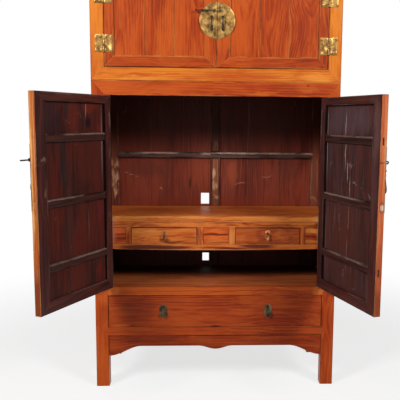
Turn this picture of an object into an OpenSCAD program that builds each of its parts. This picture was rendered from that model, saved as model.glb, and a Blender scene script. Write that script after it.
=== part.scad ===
// Chinese compound cabinet: a two-door lower cabinet with a drawer shelf and a wide drawer,
// and a two-door hat chest that stands on top of it.
// Millimetres, +Z up, the front faces -Y, the origin is on the floor under the cabinet's centre.
// Both lower doors stand open, as they are stored.

/* [Carcass] */
// Width over the posts
cab_w = 1100; // [960:10:1300]
// Depth over the posts
cab_d = 465; // [430:5:560]
// Width of a post, seen from the front
post_w = 58; // [50:1:66]
// Depth of a post
post_d = 50; // [44:1:58]
// Height of the free leg under the lower rail
leg_h = 242; // [200:2:300]
// Height of the lower front rail
low_rail_h = 40; // [34:1:50]
// Height of the wide drawer's opening
drawer_open_h = 150; // [120:1:180]
// Height of the middle front rail
mid_rail_h = 41; // [38:1:50]
// Height of the door opening
door_open_h = 863; // [780:1:940]
// Height of the top front rail
top_rail_h = 64; // [54:1:74]
// Depth of a front rail
rail_d = 30; // [28:1:34]
// Thickness of a side rail
side_rail_t = 26; // [24:1:30]
// Depth of a back rail
back_rail_d = 30; // [28:1:32]
// Distance of a back rail behind the back posts' inner face
back_rail_set = 8; // [6:1:10]

/* [Joinery] */
// Depth of the mitres and pointed shoulders on the front
shoulder_d = 10; // [8:0.5:11]
// Thickness of the carcass tenons
tenon_t = 12; // [10:0.5:12]
// Length of the front rails' tenons
tenon_l = 34; // [24:1:38]
// Length of the side and back rails' tenons
short_tenon_l = 18; // [12:1:19]
// Depth of the grooves that hold the carcass panels
groove_d = 8; // [6:0.5:9]
// Distance from a panel's groove to the tenon beside it
tenon_past = 2; // [1:0.5:3]

/* [Panels and boards] */
// Thickness of a side panel
panel_t = 10; // [8:0.5:11]
// Distance of a side panel behind the posts' outer face
panel_set = 8; // [7:0.5:9]
// Thickness of a back board
board_t = 12; // [10:0.5:12]
// Number of back boards
board_count = 6; // [4:2:8]
// Joint between two boards
board_gap = 0.6; // [0.4:0.1:1]
// Thickness of the cupboard's floor board
floor_t = 16; // [14:1:20]
// Thickness of the top boards
top_t = 15; // [12:1:18]
// Distance of a top board below the rails around it
top_set = 3; // [2:0.5:4]
// Height of the bearers under the floor board
bearer_h = 14; // [10:1:18]
// Width of a floor bearer
bearer_w = 40; // [30:1:60]

/* [Back battens and cable holes] */
// Height of the horizontal back batten
back_batten_h = 27; // [22:1:34]
// Height of that batten's underside above the cupboard's floor
back_batten_up = 567; // [480:1:620]
// Depth of the horizontal back batten
back_batten_d = 15; // [13:0.5:17]
// Width of the upright centre batten
centre_batten_w = 44; // [30:1:48]
// Depth of the upright centre batten
centre_batten_d = 10; // [7:0.5:11]
// Width of the upper cable hole
hole_up_w = 42; // [24:1:60]
// Height of the upper cable hole
hole_up_h = 57; // [24:1:60]
// Width of the lower cable hole
hole_low_w = 34; // [24:1:60]
// Height of the lower cable hole
hole_low_h = 43; // [24:1:60]
// Distance of the cable holes from the cabinet's centre
hole_x = 32; // [26:1:60]
// Height of the lower cable hole above the cupboard's floor
hole_low_up = 26; // [10:1:60]
// Height of the upper cable hole above the shelf
hole_up_up = 9; // [4:1:40]

/* [Drawer shelf] */
// Height of the shelf's top above the cupboard's floor
shelf_up = 318; // [280:1:380]
// Thickness of the shelf's top board
shelf_t = 26; // [20:1:30]
// Height of the shelf's top rail
shelf_rail_h = 25; // [18:1:32]
// Height of the shelf drawers' opening
shelf_open_h = 80; // [60:1:90]
// Height of the shelf's bottom rail at its ends
shelf_low_rail_h = 20; // [14:1:28]
// How far the bottom rail bows down in the middle
shelf_bow = 7; // [0:0.5:12]
// Depth of the shelf's rails and stiles
shelf_frame_d = 22; // [18:1:28]
// Distance from the centre to the inner stiles
shelf_mid_half = 59; // [50:1:70]
// Width of an inner stile
shelf_in_stile_w = 29; // [22:1:34]
// Width of a shelf drawer's opening
shelf_open_w = 302; // [260:1:310]
// Width of an outer stile
shelf_out_stile_w = 23; // [18:1:28]
// Thickness of the shelf's fill panels
fill_t = 8; // [6:0.5:10]
// Distance of the fill panels behind the shelf's front
fill_set = 3; // [1:0.5:5]
// Thickness of the shelf's partitions and cleats
partition_t = 12; // [8:0.5:16]
// Thickness of the shelf's runner board
shelf_floor_t = 10; // [8:0.5:12]

/* [Small drawers] */
// Gap around a drawer front
drawer_gap = 2; // [1:0.25:3]
// Thickness of a small drawer's front
small_front_t = 14; // [10:0.5:18]
// Length of a small drawer, front to back
small_l = 240; // [160:1:260]
// How far a small drawer's sides stay below its front
small_side_low = 16; // [8:1:30]
// Thickness of a small drawer's sides
small_side_t = 8; // [6:0.5:10]
// Thickness of a small drawer's bottom
small_bottom_t = 5; // [4:0.5:6]

/* [Wide drawer] */
// Distance of the wide drawer's front behind the posts' face
wide_set = 1; // [0:0.5:3]
// Thickness of the wide drawer's front
wide_front_t = 20; // [16:1:24]
// Room between the wide drawer and the back rails
wide_back_gap = 2; // [1:0.5:20]
// How far the wide drawer's sides stay below its front
wide_side_low = 22; // [10:1:50]
// Room at each side of the wide drawer's box
wide_side_gap = 6; // [4:0.5:10]
// Thickness of the wide drawer's sides and back
wide_side_t = 12; // [9:0.5:14]
// Thickness of the wide drawer's bottom
wide_bottom_t = 8; // [6:0.5:10]
// Distance of the drawer bottoms above the sides' lower edge
bottom_up = 6; // [4:0.5:8]
// Depth of the grooves that hold the drawer bottoms
bottom_groove = 4; // [3:0.5:5]
// Width of the worn finger notch in the wide drawer's front
notch_w = 58; // [40:1:70]
// Height of the finger notch
notch_h = 5; // [3:0.5:7]
// Room between the wide drawer's box and its side guides
guide_gap = 3; // [2.5:0.5:4]
// Width of a drawer runner
runner_w = 32; // [24:1:48]
// Height of a drawer runner
runner_h = 22; // [16:1:30]
// Height of the side guide above the runner
guide_h = 18; // [10:1:30]

/* [Doors] */
// Gap between a door and the frame around it
door_gap = 2; // [1.5:0.25:3]
// Gap above and below a lower door
door_gap_v = 2.5; // [1.5:0.25:4]
// Thickness of a door
door_t = 28; // [26:0.5:32]
// Width of a door's hinge stile
hinge_stile_w = 43; // [38:1:60]
// Width of a door's meeting stile
meet_stile_w = 57; // [46:1:70]
// Height of a door's top rail
door_top_h = 35; // [32:1:60]
// Height of a door's bottom rail
door_low_h = 46; // [34:1:70]
// Depth of the recess inside the door, from the frame to the panel
door_recess = 13; // [11:0.5:14]
// Thickness of a door panel
door_panel_t = 10; // [8:0.5:11]
// Depth of the grooves in a door's frame
door_groove = 7; // [5:0.5:8]
// Thickness of the door rails' tenons
door_tenon_t = 9; // [7:0.5:10]
// Length of the door rails' tenons
door_tenon_l = 26; // [16:1:32]
// Height of a door batten
door_batten_h = 31; // [24:1:38]
// Distance of a batten's face below the door frame's inner face
door_batten_set = 3; // [1:0.5:5]
// How deep a batten is let into the panel
batten_let = 3; // [2:0.5:4]
// Thickness of a batten's tenon
batten_tenon_t = 7; // [5:0.5:8]
// Distance from the middle batten to the others
door_batten_pitch = 254; // [220:1:280]
// Height of the middle batten above the door's lower edge
door_batten_mid = 428; // [400:1:460]
// How far the left door stands open, in degrees
left_open = 115.5; // [100:0.5:130]
// How far the right door stands open, in degrees
right_open = 107.4; // [95:0.1:130]

/* [Hinges] */
// Height of a hinge
hinge_h = 75; // [54:1:90]
// Distance from a lower door's hinge to the end of the door
hinge_in = 90; // [60:1:120]
// Distance from a chest door's hinge to the end of the door
chest_hinge_in = 60; // [50:1:68]
// Width of a hinge leaf
leaf_w = 38; // [26:1:42]
// Thickness of a hinge leaf
leaf_t = 1.6; // [1:0.1:1.7]
// Distance of the hinge axis in front of the doors' face
axis_out = 2; // [1.8:0.1:2.6]
// Outer radius of a hinge knuckle
knuckle_r = 4; // [3.4:0.1:5]
// Radius of a hinge pin
hinge_pin_r = 2.2; // [1.6:0.1:2.4]
// Radial running clearance of the hinge pins and pull pins
pin_fit = 0.06; // [0.02:0.01:0.1]
// End clearance between knuckles
knuckle_gap = 0.4; // [0.3:0.05:0.8]
// Radial room between a knuckle and the wood beside it
knuckle_room = 0.5; // [0.4:0.1:1]
// Radius of a nail head
nail_r = 3; // [2:0.1:3.5]
// Height of a nail head
nail_h = 1; // [0.6:0.1:1.4]
// Distance of a hinge leaf's nails from its ends
nail_row = 8; // [6:0.5:10]

/* [Face plates and lock pins] */
// Radius of the lower doors' round face plate
plate_r = 127; // [90:1:140]
// Radius of the chest doors' round face plate
chest_plate_r = 78; // [64:1:90]
// Thickness of a face plate
plate_t = 1.5; // [1:0.1:2]
// Height of the lower face plate's centre above the doors' lower edge
plate_up = 535; // [500:1:580]
// Number of nails in half a face plate
plate_nails = 5; // [3:1:7]
// Distance of the nails from the plate's rim
nail_in = 9; // [6:0.5:14]
// Distance of a lock ear from the meeting line
ear_x = 11; // [9:0.5:14]
// Outer radius of a lock ear
ear_r = 7; // [6:0.5:8]
// Thickness of a lock ear
ear_t = 6; // [4:0.5:8]
// Height of a lock ear's foot on the plate
ear_foot_h = 6; // [3:0.5:9]
// Distance of the ears' bore in front of the plate
ear_out = 8.5; // [8.2:0.1:10]
// Height of the lower ears above the plate's centre
ear_up = 67; // [56:1:80]
// Height of the chest's ears above its plate's centre
chest_ear_up = 42; // [34:1:50]
// Radius of a lock pin's shaft
lock_r = 2.9; // [2.4:0.1:3.2]
// How much thicker a lock pin's tip is than its shaft
lock_flare = 0.1; // [0:0.05:0.4]
// Radial room of the lock pin's tip in the ears
lock_room = 0.7; // [0.4:0.05:0.8]
// How far the lock pin's tip passes the meeting line
lock_tip = 40; // [30:1:50]
// How far the lock pin's head stands on the other side
lock_head = 46; // [36:1:60]
// Distance from the chest pin's tip to the meeting line, where the pin is drawn back
chest_pin_in = 4; // [3:0.5:6]
// Radius of the lock pin's head
lock_head_r = 5; // [4:0.1:6]
// Length of the lock pin's head
lock_head_l = 6; // [4:0.5:9]

/* [Pulls] */
// Distance of the door pulls from the meeting line
pull_x = 24; // [22:0.5:40]
// Height of the lower door pulls' pivot above the plate's centre
pull_up = 34; // [20:1:40]
// Height of the chest pulls' pivot above its plate's centre
chest_pull_up = 16; // [6:1:20]
// Length of a lower door pull
pull_l = 90; // [60:1:100]
// Length of a chest door pull
chest_pull_l = 62; // [44:1:70]
// Largest radius of a lower door pull
pull_r = 8.5; // [6:0.5:9]
// Largest radius of a chest door pull
chest_pull_r = 6.5; // [5:0.5:8]
// Distance of the pivots of all pulls in front of their plate
pull_out = 11.5; // [11:0.1:13]
// Radius of a pull's pivot pin
pivot_r = 1.5; // [1.2:0.1:1.8]
// Outer radius of a pull's eye
eye_r = 3.6; // [3.2:0.1:4.2]
// Width of a pull's eye
eye_w = 4; // [3:0.1:5]
// Thickness of the cheeks that hold a pull
cheek_t = 2; // [1.5:0.1:3]
// Room between a pull's eye and what holds it
eye_room = 0.35; // [0.3:0.05:0.6]
// Half width of the long rosette behind a wide drawer's pull
rosette_r = 18; // [12:0.5:22]
// Distance between the centres of that rosette's round ends
rosette_long = 26; // [10:1:36]
// Depth of its upper centre below the pull's pivot
rosette_down = 9; // [4:0.5:12]
// Distance of the wide drawer's pulls from the centre
wide_pull_x = 241; // [180:1:320]
// Height of the wide drawer's pull pivots above the drawer's lower edge
wide_pull_up = 99; // [86:1:112]
// Length of a wide drawer's pull
wide_pull_l = 52; // [40:1:66]
// Width of a wide drawer's pull
wide_pull_w = 25; // [20:1:34]
// Distance of the shelf drawers' fronts behind the shelf frame's face
small_set = 0.5; // [0.3:0.1:1.5]
// Height of a small drawer's pull pivot above the drawer's lower edge
small_pull_up = 52; // [44:1:58]
// Length of a small drawer's pull
small_pull_l = 31; // [24:1:36]
// Width of a small drawer's pull
small_pull_w = 17; // [12:1:24]
// Half width of the long rosette behind a small drawer's pull
small_rosette_r = 13; // [8:0.5:14]
// Distance between the centres of that rosette's round ends
small_rosette_long = 18; // [8:1:22]
// Height of its upper centre above the pull's pivot
small_rosette_up = 2; // [0:0.5:4]
// Thickness of a drawer pull
drop_t = 5; // [3.5:0.1:6]

/* [Aprons] */
// Thickness of an apron
apron_t = 14; // [10:1:16]
// Distance of the front apron behind the posts' face
apron_set = 5; // [3:1:8]
// Depth of the front apron between its scrolls
apron_h = 52; // [40:1:64]
// Extra depth of the apron at the legs
spandrel_h = 46; // [30:1:60]
// Width of a spandrel
spandrel_w = 150; // [100:1:180]
// Extra depth of the apron's middle scroll
pendant_h = 16; // [8:1:24]
// Half width of the middle scroll
pendant_half = 80; // [50:1:110]
// Depth of a side apron
side_apron_h = 44; // [34:1:60]
// Extra depth of a side apron at the legs
side_spandrel_h = 30; // [20:1:40]
// Width of a side apron's spandrel
side_spandrel_w = 70; // [50:1:90]

/* [Upper chest] */
// Height of the upper chest
chest_h = 520; // [440:1:600]
// Height of the chest's front rails
chest_rail_h = 57; // [50:1:70]
// Gap above and below a chest door
chest_gap_v = 2.5; // [1.5:0.25:4]
// Distance from the middle of a chest door to its battens
chest_batten_pitch = 95; // [80:1:110]
// Gap under a piece that rests on another and slides or lifts
seat_gap = 0.3; // [0.2:0.05:0.4]

/* [Hidden] */

$fn = 48;
front = -cab_d / 2;
back = cab_d / 2;
half_w = cab_w / 2;
open_half = half_w - post_w;
low_rail_z = leg_h;
drawer_z = low_rail_z + low_rail_h;
mid_rail_z = drawer_z + drawer_open_h;
door_z = mid_rail_z + mid_rail_h;
top_rail_z = door_z + door_open_h;
low_h = top_rail_z + top_rail_h;
chest_z = low_h + seat_gap;
chest_open_z = chest_z + chest_rail_h;
chest_open_top = chest_z + chest_h - chest_rail_h;
tenon_in = groove_d + tenon_past;
in_front = front + post_d;
in_back = back - post_d;
back_rail_y = in_back + back_rail_set;
board_y = in_back + back_batten_d;
side_in = half_w - panel_set - panel_t;
shelf_z = door_z + shelf_up;
shelf_rail_z = shelf_z - shelf_t - shelf_rail_h;
shelf_open_z = shelf_rail_z - shelf_open_h;
shelf_back_y = in_front + shelf_frame_d;
shelf_in_x = shelf_mid_half + shelf_in_stile_w;
shelf_out_x = shelf_in_x + shelf_open_w;
shelf_end_x = shelf_out_x + shelf_out_stile_w;
small_x0 = shelf_in_x + drawer_gap;
small_x1 = shelf_out_x - drawer_gap;
small_z = shelf_open_z + seat_gap;
small_y = in_front + small_set;
small_mid_x = (small_x0 + small_x1) / 2;
wide_half = open_half - drawer_gap;
wide_box_half = open_half - wide_side_gap;
wide_front_h = drawer_open_h - seat_gap - drawer_gap;
wide_side_h = wide_front_h - wide_side_low;
wide_back_y = back_rail_y - wide_back_gap;
small_front_h = shelf_open_h - seat_gap - 2 * drawer_gap;
small_side_h = small_front_h - small_side_low;
wide_z = drawer_z + seat_gap;
wide_y = front + wide_set;
door_x0 = -open_half + door_gap;
door_x1 = -door_gap / 2;
low_door = [door_z + door_gap_v, top_rail_z - door_gap_v];
chest_door = [chest_open_z + chest_gap_v, chest_open_top - chest_gap_v];
low_battens = [for (i = [-1:1]) low_door[0] + door_batten_mid + i * door_batten_pitch];
chest_mid_z = (chest_door[0] + chest_door[1]) / 2;
chest_battens = [for (i = [-1, 1]) chest_mid_z + i * chest_batten_pitch];
left_joints = [1 / 3, 2 / 3];
right_joints = [0.36, 0.62];
axis_x = -open_half + door_gap / 2;
axis_y = front - axis_out;
ear_bore_r = lock_r + lock_flare + lock_room;
plate_z = low_door[0] + plate_up;
plate_y = front - plate_t;

// Box between two corners, given axis by axis
module span(x0, x1, y0, y1, z0, z1) {
    translate([x0, y0, z0]) cube([x1 - x0, y1 - y0, z1 - z0]);
}

module both_sides() {
    children();
    mirror([1, 0, 0]) children();
}

// Outline in the X-Z plane, given a thickness from y towards the back
module upright(y, t) {
    translate([0, y + t, 0]) rotate([90, 0, 0]) linear_extrude(t) children();
}

module rod_x(x0, x1, y, z, r) {
    translate([x0, y, z]) rotate([0, 90, 0]) cylinder(h = x1 - x0, r = r);
}

module disc_y(x, y, z, r, t) {
    translate([x, y, z]) rotate([90, 0, 0]) cylinder(h = t, r = r);
}

// Carcass joinery

// Front rail with a pointed shoulder and a tenon at each end
module pointed_rail_form(z, h) {
    span(-open_half, open_half, front, front + rail_d, z, z + h);
    upright(front, shoulder_d) polygon([
        [-open_half, z], [open_half, z], [open_half + h / 2, z + h / 2],
        [open_half, z + h], [-open_half, z + h], [-open_half - h / 2, z + h / 2]
    ]);
    front_tenons_form(z, h);
}

module front_tenons_form(z, h) {
    reach = open_half + tenon_l;
    span(-reach, reach, front + shoulder_d, front + shoulder_d + tenon_t,
        z + tenon_in, z + h - tenon_in);
}

// Front rail with mitred corners; wide is 1 where the long edge is on top, -1 where it is below
module mitred_rail_form(z, h, wide) {
    top_half = wide > 0 ? half_w : open_half;
    low_half = wide > 0 ? open_half : half_w;
    span(-open_half, open_half, front, front + rail_d, z, z + h);
    upright(front, shoulder_d) polygon([
        [-low_half, z], [low_half, z], [top_half, z + h], [-top_half, z + h]
    ]);
    front_tenons_form(z, h);
}

module side_rail_form(z, h) {
    x0 = half_w - side_rail_t;
    tenon_x = half_w - panel_set - panel_t / 2 - tenon_t / 2;
    span(x0, half_w, in_front, in_back, z, z + h);
    span(tenon_x, tenon_x + tenon_t, in_front - short_tenon_l, in_back + short_tenon_l,
        z + tenon_in, z + h - tenon_in);
}

module back_rail_form(z, h) {
    reach = open_half + short_tenon_l;
    tenon_y = back_rail_y + (back_rail_d - tenon_t) / 2;
    span(-open_half, open_half, back_rail_y, back_rail_y + back_rail_d, z, z + h);
    span(-reach, reach, tenon_y, tenon_y + tenon_t, z + tenon_in, z + h - tenon_in);
}

module side_panel_form(z0, z1) {
    span(side_in, side_in + panel_t, in_front - groove_d, in_back + groove_d,
        z0 - groove_d, z1 + groove_d);
}

// Back boards between two rails, as one slab, for cutting the grooves
module back_slab_form(z0, z1) {
    reach = open_half + groove_d;
    span(-reach, reach, board_y, board_y + board_t, z0 - groove_d, z1 + groove_d);
}

// The same space as separate boards
module back_boards_form(z0, z1) {
    step = 2 * open_half / board_count;
    for (i = [0:board_count - 1]) {
        x0 = i == 0 ? -open_half - groove_d : -open_half + i * step + board_gap / 2;
        x1 = i == board_count - 1 ? open_half + groove_d : -open_half + (i + 1) * step - board_gap / 2;
        span(x0, x1, board_y, board_y + board_t, z0 - groove_d, z1 + groove_d);
    }
}

// Board that lies inside the top or bottom frame, tongued into the rails and let round the posts
module frame_board_form(z0, z1, tongue) {
    side_x = half_w - side_rail_t + tongue;
    span(-side_x, side_x, in_front, in_back, z0, z1);
    span(-open_half, open_half, front + rail_d - tongue, back_rail_y + tongue, z0, z1);
}

module top_board_form() {
    frame_board_form(low_h - top_set - top_t, low_h - top_set, groove_d);
}

module lower_side_rails_form() {
    side_rail_form(low_rail_z, low_rail_h);
    side_rail_form(mid_rail_z, mid_rail_h);
    side_rail_form(top_rail_z, top_rail_h);
}

module lower_back_rails_form() {
    back_rail_form(low_rail_z, low_rail_h);
    back_rail_form(mid_rail_z, mid_rail_h);
    back_rail_form(top_rail_z, top_rail_h);
}

module lower_side_panels_form() {
    side_panel_form(drawer_z, mid_rail_z);
    side_panel_form(door_z, top_rail_z);
}

module lower_back_slabs_form() {
    back_slab_form(drawer_z, mid_rail_z);
    back_slab_form(door_z, top_rail_z);
}

module back_batten_form() {
    reach = open_half + groove_d;
    z0 = door_z + back_batten_up;
    span(-reach, reach, in_back, in_back + back_batten_d, z0, z0 + back_batten_h);
}

module centre_batten_form() {
    half = centre_batten_w / 2;
    span(-half, half, board_y - centre_batten_d, board_y, door_z, top_rail_z);
}

// Room that the knuckles turn in, cut from the post and the door beside it
module hinge_room_form(door) {
    for (z = hinge_places(door))
        translate([axis_x, axis_y, z - 1]) cylinder(h = hinge_h + 2, r = knuckle_r + knuckle_room);
}

function hinge_places(door) = let (inset = door == low_door ? hinge_in : chest_hinge_in)
    [door[0] + inset, door[1] - inset - hinge_h];

// Lower carcass

module front_post() {
    difference() {
        span(-half_w, -open_half, front, in_front, 0, low_h);
        pointed_rail_form(low_rail_z, low_rail_h);
        pointed_rail_form(mid_rail_z, mid_rail_h);
        mitred_rail_form(top_rail_z, top_rail_h, 1);
        mirror([1, 0, 0]) lower_side_rails_form();
        mirror([1, 0, 0]) lower_side_panels_form();
        apron_form();
        mirror([1, 0, 0]) side_apron_form();
        hinge_room_form(low_door);
    }
}

module back_post() {
    difference() {
        span(-half_w, -open_half, in_back, back, 0, low_h);
        lower_back_rails_form();
        lower_back_slabs_form();
        back_batten_form();
        mirror([1, 0, 0]) lower_side_rails_form();
        mirror([1, 0, 0]) lower_side_panels_form();
        mirror([1, 0, 0]) side_apron_form();
    }
}

module post_front_left() {
    color("chocolate") front_post();
}

module post_front_right() {
    color("chocolate") mirror([1, 0, 0]) front_post();
}

module posts_back() {
    color("sienna") both_sides() back_post();
}

module top_rail_front() {
    color("chocolate") difference() {
        mitred_rail_form(top_rail_z, top_rail_h, 1);
        top_board_form();
    }
}

// Rails above and below the wide drawer
module drawer_rails_front() {
    color("sienna") {
        pointed_rail_form(mid_rail_z, mid_rail_h);
        difference() {
            pointed_rail_form(low_rail_z, low_rail_h);
            apron_form();
        }
    }
}

module side_rails() {
    color("sienna") both_sides() difference() {
        lower_side_rails_form();
        lower_side_panels_form();
        top_board_form();
        side_apron_form();
    }
}

module back_rails() {
    color("saddlebrown") difference() {
        lower_back_rails_form();
        lower_back_slabs_form();
        top_board_form();
    }
}

module side_panels() {
    color("peru") both_sides() lower_side_panels_form();
}

module back_boards() {
    color("maroon") difference() {
        union() {
            back_slab_form(drawer_z, mid_rail_z);
            back_boards_form(door_z, top_rail_z);
        }
        cable_hole_form(shelf_z + hole_up_up, hole_up_w, hole_up_h);
        cable_hole_form(door_z + hole_low_up, hole_low_w, hole_low_h);
    }
}

module cable_hole_form(z, w, h) {
    span(-hole_x - w, -hole_x, board_y - 1, board_y + board_t + 1, z, z + h);
}

module back_battens() {
    color("saddlebrown") {
        centre_batten_form();
        difference() {
            back_batten_form();
            centre_batten_form();
        }
    }
}

module top_board() {
    color("peru") top_board_form();
}

module floor_board() {
    color("saddlebrown") {
        frame_board_form(door_z - floor_t, door_z, 0);
        for (x = [-open_half + bearer_w, 0, open_half - bearer_w])
            span(x - bearer_w / 2, x + bearer_w / 2, front + rail_d, back_rail_y,
                door_z - floor_t - bearer_h, door_z - floor_t);
    }
}

// Runner under each side of the wide drawer, with the guide that keeps it straight
module drawer_runners() {
    side_x = half_w - side_rail_t;
    guide_x = wide_box_half + guide_gap;
    color("saddlebrown") both_sides() difference() {
        union() {
            span(open_half - runner_w, open_half, front + rail_d, back_rail_y,
                drawer_z - runner_h, drawer_z);
            span(open_half - runner_w, side_x, in_front, in_back, drawer_z - runner_h, drawer_z);
            span(guide_x, side_x, in_front, in_back, drawer_z - runner_h, drawer_z + guide_h);
        }
    }
}

// Aprons under the lower rails

function ease(t) = (1 - cos(180 * max(0, min(1, t)))) / 2;

function apron_drop(x) = apron_h + spandrel_h * ease((x - open_half + spandrel_w) / spandrel_w)
    + pendant_h * ease((pendant_half - x) / pendant_half);

function side_drop(y, half) = side_apron_h
    + side_spandrel_h * ease((abs(y) - half + side_spandrel_w) / side_spandrel_w);

module apron_form() {
    reach = open_half + groove_d;
    steps = 48;
    upright(front + apron_set, apron_t) polygon(concat(
        [[reach, low_rail_z + groove_d], [-reach, low_rail_z + groove_d]],
        [for (i = [-steps:steps]) let (x = reach * i / steps) [x, low_rail_z - apron_drop(abs(x))]]
    ));
}

module side_apron_form() {
    half = (in_back - in_front) / 2 + groove_d;
    steps = 20;
    translate([half_w - panel_set - apron_t, 0, 0]) rotate([90, 0, 90]) linear_extrude(apron_t)
        polygon(concat(
            [[half, low_rail_z + groove_d], [-half, low_rail_z + groove_d]],
            [for (i = [-steps:steps]) let (y = half * i / steps) [y, low_rail_z - side_drop(y, half)]]
        ));
}

module apron_front() {
    color("chocolate") apron_form();
}

module side_aprons() {
    color("sienna") both_sides() side_apron_form();
}

// Drawer shelf

module shelf_board() {
    color("orange") span(-side_in, side_in, in_front, in_back, shelf_z - shelf_t, shelf_z);
}

function bow(x) = -shelf_bow * (1 - pow(x / side_in, 2));

module shelf_frame() {
    steps = 16;
    color("orange") {
        span(-side_in, side_in, in_front, shelf_back_y, shelf_rail_z, shelf_rail_z + shelf_rail_h);
        upright(in_front, shelf_frame_d) polygon(concat(
            [[side_in, shelf_open_z], [-side_in, shelf_open_z]],
            [for (i = [-steps:steps]) let (x = side_in * i / steps)
                [x, shelf_open_z - shelf_low_rail_h + bow(x)]]
        ));
        both_sides()
            for (x = [[shelf_mid_half, shelf_in_x], [shelf_out_x, shelf_end_x]])
                span(x[0], x[1], in_front, shelf_back_y, shelf_open_z - shelf_low_rail_h / 2,
                    shelf_rail_z + shelf_rail_h / 2);
    }
}

module shelf_fill_panels() {
    y0 = in_front + fill_set;
    color("peru") {
        span(-shelf_mid_half, shelf_mid_half, y0, y0 + fill_t, shelf_open_z, shelf_rail_z);
        both_sides() span(shelf_end_x, side_in, y0, y0 + fill_t, shelf_open_z, shelf_rail_z);
    }
}

// Runner board, the boards between the drawers, and the cleats that carry the shelf at its ends
module shelf_partitions() {
    color("saddlebrown") {
        span(-shelf_end_x, shelf_end_x, shelf_back_y, in_back, shelf_open_z - shelf_floor_t, shelf_open_z);
        both_sides() {
            span(shelf_in_x - partition_t, shelf_in_x, shelf_back_y, in_back,
                shelf_open_z, shelf_z - shelf_t);
            span(shelf_out_x, shelf_out_x + partition_t, shelf_back_y, in_back,
                shelf_open_z, shelf_z - shelf_t);
            span(side_in - partition_t, side_in, shelf_back_y, in_back, shelf_rail_z, shelf_z - shelf_t);
        }
    }
}

// Doors, drawn closed on the left-hand side

function door_in_x0() = door_x0 + hinge_stile_w;
function door_in_x1() = door_x1 - meet_stile_w;
function door_panel_y() = front + door_t - door_recess - door_panel_t;

// Rails mitred from corner to corner, with tenons; each pair is the outer and the inner edge
module door_rails_form(door) {
    tenon_y = front + (door_t - door_tenon_t) / 2;
    inset = door_groove + tenon_past;
    for (r = [[door[0], door[0] + door_low_h], [door[1], door[1] - door_top_h]]) {
        upright(front, door_t) polygon([
            [door_x0, r[0]], [door_in_x0(), r[1]], [door_in_x1(), r[1]], [door_x1, r[0]]
        ]);
        span(door_in_x0() - door_tenon_l, door_in_x1() + door_tenon_l,
            tenon_y, tenon_y + door_tenon_t, min(r) + inset, max(r) - inset);
    }
}

module door_slab_form(door) {
    span(door_in_x0() - door_groove, door_in_x1() + door_groove,
        door_panel_y(), door_panel_y() + door_panel_t,
        door[0] + door_low_h - door_groove, door[1] - door_top_h + door_groove);
}

// Batten across the inside of the panel, tenoned through the meeting stile
module door_batten_form(z) {
    y0 = door_panel_y() + door_panel_t - batten_let;
    y1 = front + door_t - door_batten_set;
    half = door_batten_h / 2;
    span(door_in_x0(), door_in_x1(), y0, y1, z - half, z + half);
    span(door_in_x0() - short_tenon_l, door_x1, y0, y0 + batten_tenon_t, z - half + 1, z + half - 1);
}

module door_battens_form(battens) {
    for (z = battens)
        door_batten_form(z);
}

module door_stiles_form(door, battens) {
    difference() {
        union() {
            span(door_x0, door_in_x0(), front, front + door_t, door[0], door[1]);
            span(door_in_x1(), door_x1, front, front + door_t, door[0], door[1]);
        }
        door_rails_form(door);
        door_slab_form(door);
        door_battens_form(battens);
        hinge_room_form(door);
    }
}

module door_rail_pair_form(door) {
    difference() {
        door_rails_form(door);
        door_slab_form(door);
        hinge_room_form(door);
    }
}

// Three boards; joints gives where they meet, as shares of the panel's width
module door_panel_form(door, battens, joints) {
    x0 = door_in_x0();
    w = door_in_x1() - x0;
    difference() {
        door_slab_form(door);
        door_battens_form(battens);
        for (j = joints)
            span(x0 + j * w - board_gap / 2, x0 + j * w + board_gap / 2, front - 1,
                front + door_t + 1, door[0], door[1]);
    }
}

// Leaf plate with its own knuckles; the axis is at the origin and the wood's face at y = axis_out.
// side is -1 for the post and 1 for the door, places are the heights where it has a knuckle.
module leaf_form(side, places, knuckle_len) {
    edge = knuckle_r + 0.8;
    x0 = side < 0 ? -leaf_w : edge;
    x1 = side < 0 ? -edge : leaf_w;
    span(x0, x1, axis_out - leaf_t, axis_out, 0, hinge_h);
    for (z = places) {
        translate([0, 0, z]) cylinder(h = knuckle_len, r = knuckle_r);
        span(min(0, side * (edge + 1)), max(0, side * (edge + 1)), axis_out - leaf_t, axis_out,
            z, z + knuckle_len);
    }
    for (z = [nail_row, hinge_h - nail_row])
        for (x = [edge + nail_r + 2, leaf_w - nail_r - 2])
            disc_y(side * x, axis_out - leaf_t, z, nail_r, nail_h);
}

module post_leaf_form() {
    third = hinge_h / 3;
    len = third - knuckle_gap / 2;
    leaf_form(-1, [0, hinge_h - len], len);
    cylinder(h = hinge_h, r = hinge_pin_r);
}

module door_leaf_form() {
    third = hinge_h / 3;
    difference() {
        leaf_form(1, [third + knuckle_gap / 2], third - knuckle_gap);
        translate([0, 0, -1]) cylinder(h = hinge_h + 2, r = hinge_pin_r + pin_fit);
    }
}

module at_hinges(door) {
    for (z = hinge_places(door))
        translate([axis_x, axis_y, z]) children();
}

// Half of a round face plate with nails
module half_plate_form(z, r) {
    difference() {
        disc_y(0, front, z, r, plate_t);
        span(-door_gap / 2, r + 1, plate_y - 1, front + 1, z - r - 1, z + r + 1);
    }
    for (i = [0:plate_nails - 1]) {
        angle = 90 + 180 * (i + 0.5) / plate_nails;
        disc_y((r - nail_in) * cos(angle), plate_y, z + (r - nail_in) * sin(angle), nail_r, nail_h);
    }
}

// Ear on a face plate that a lock pin slides in
module ear_form(z) {
    y = plate_y - ear_out;
    difference() {
        union() {
            rod_x(-ear_x - ear_t / 2, -ear_x + ear_t / 2, y, z, ear_r);
            span(-ear_x - ear_t / 2, -ear_x + ear_t / 2, y, plate_y, z - ear_foot_h / 2, z + ear_foot_h / 2);
        }
        rod_x(-ear_x - ear_t, -ear_x + ear_t, y, z, ear_bore_r);
    }
}

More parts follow.
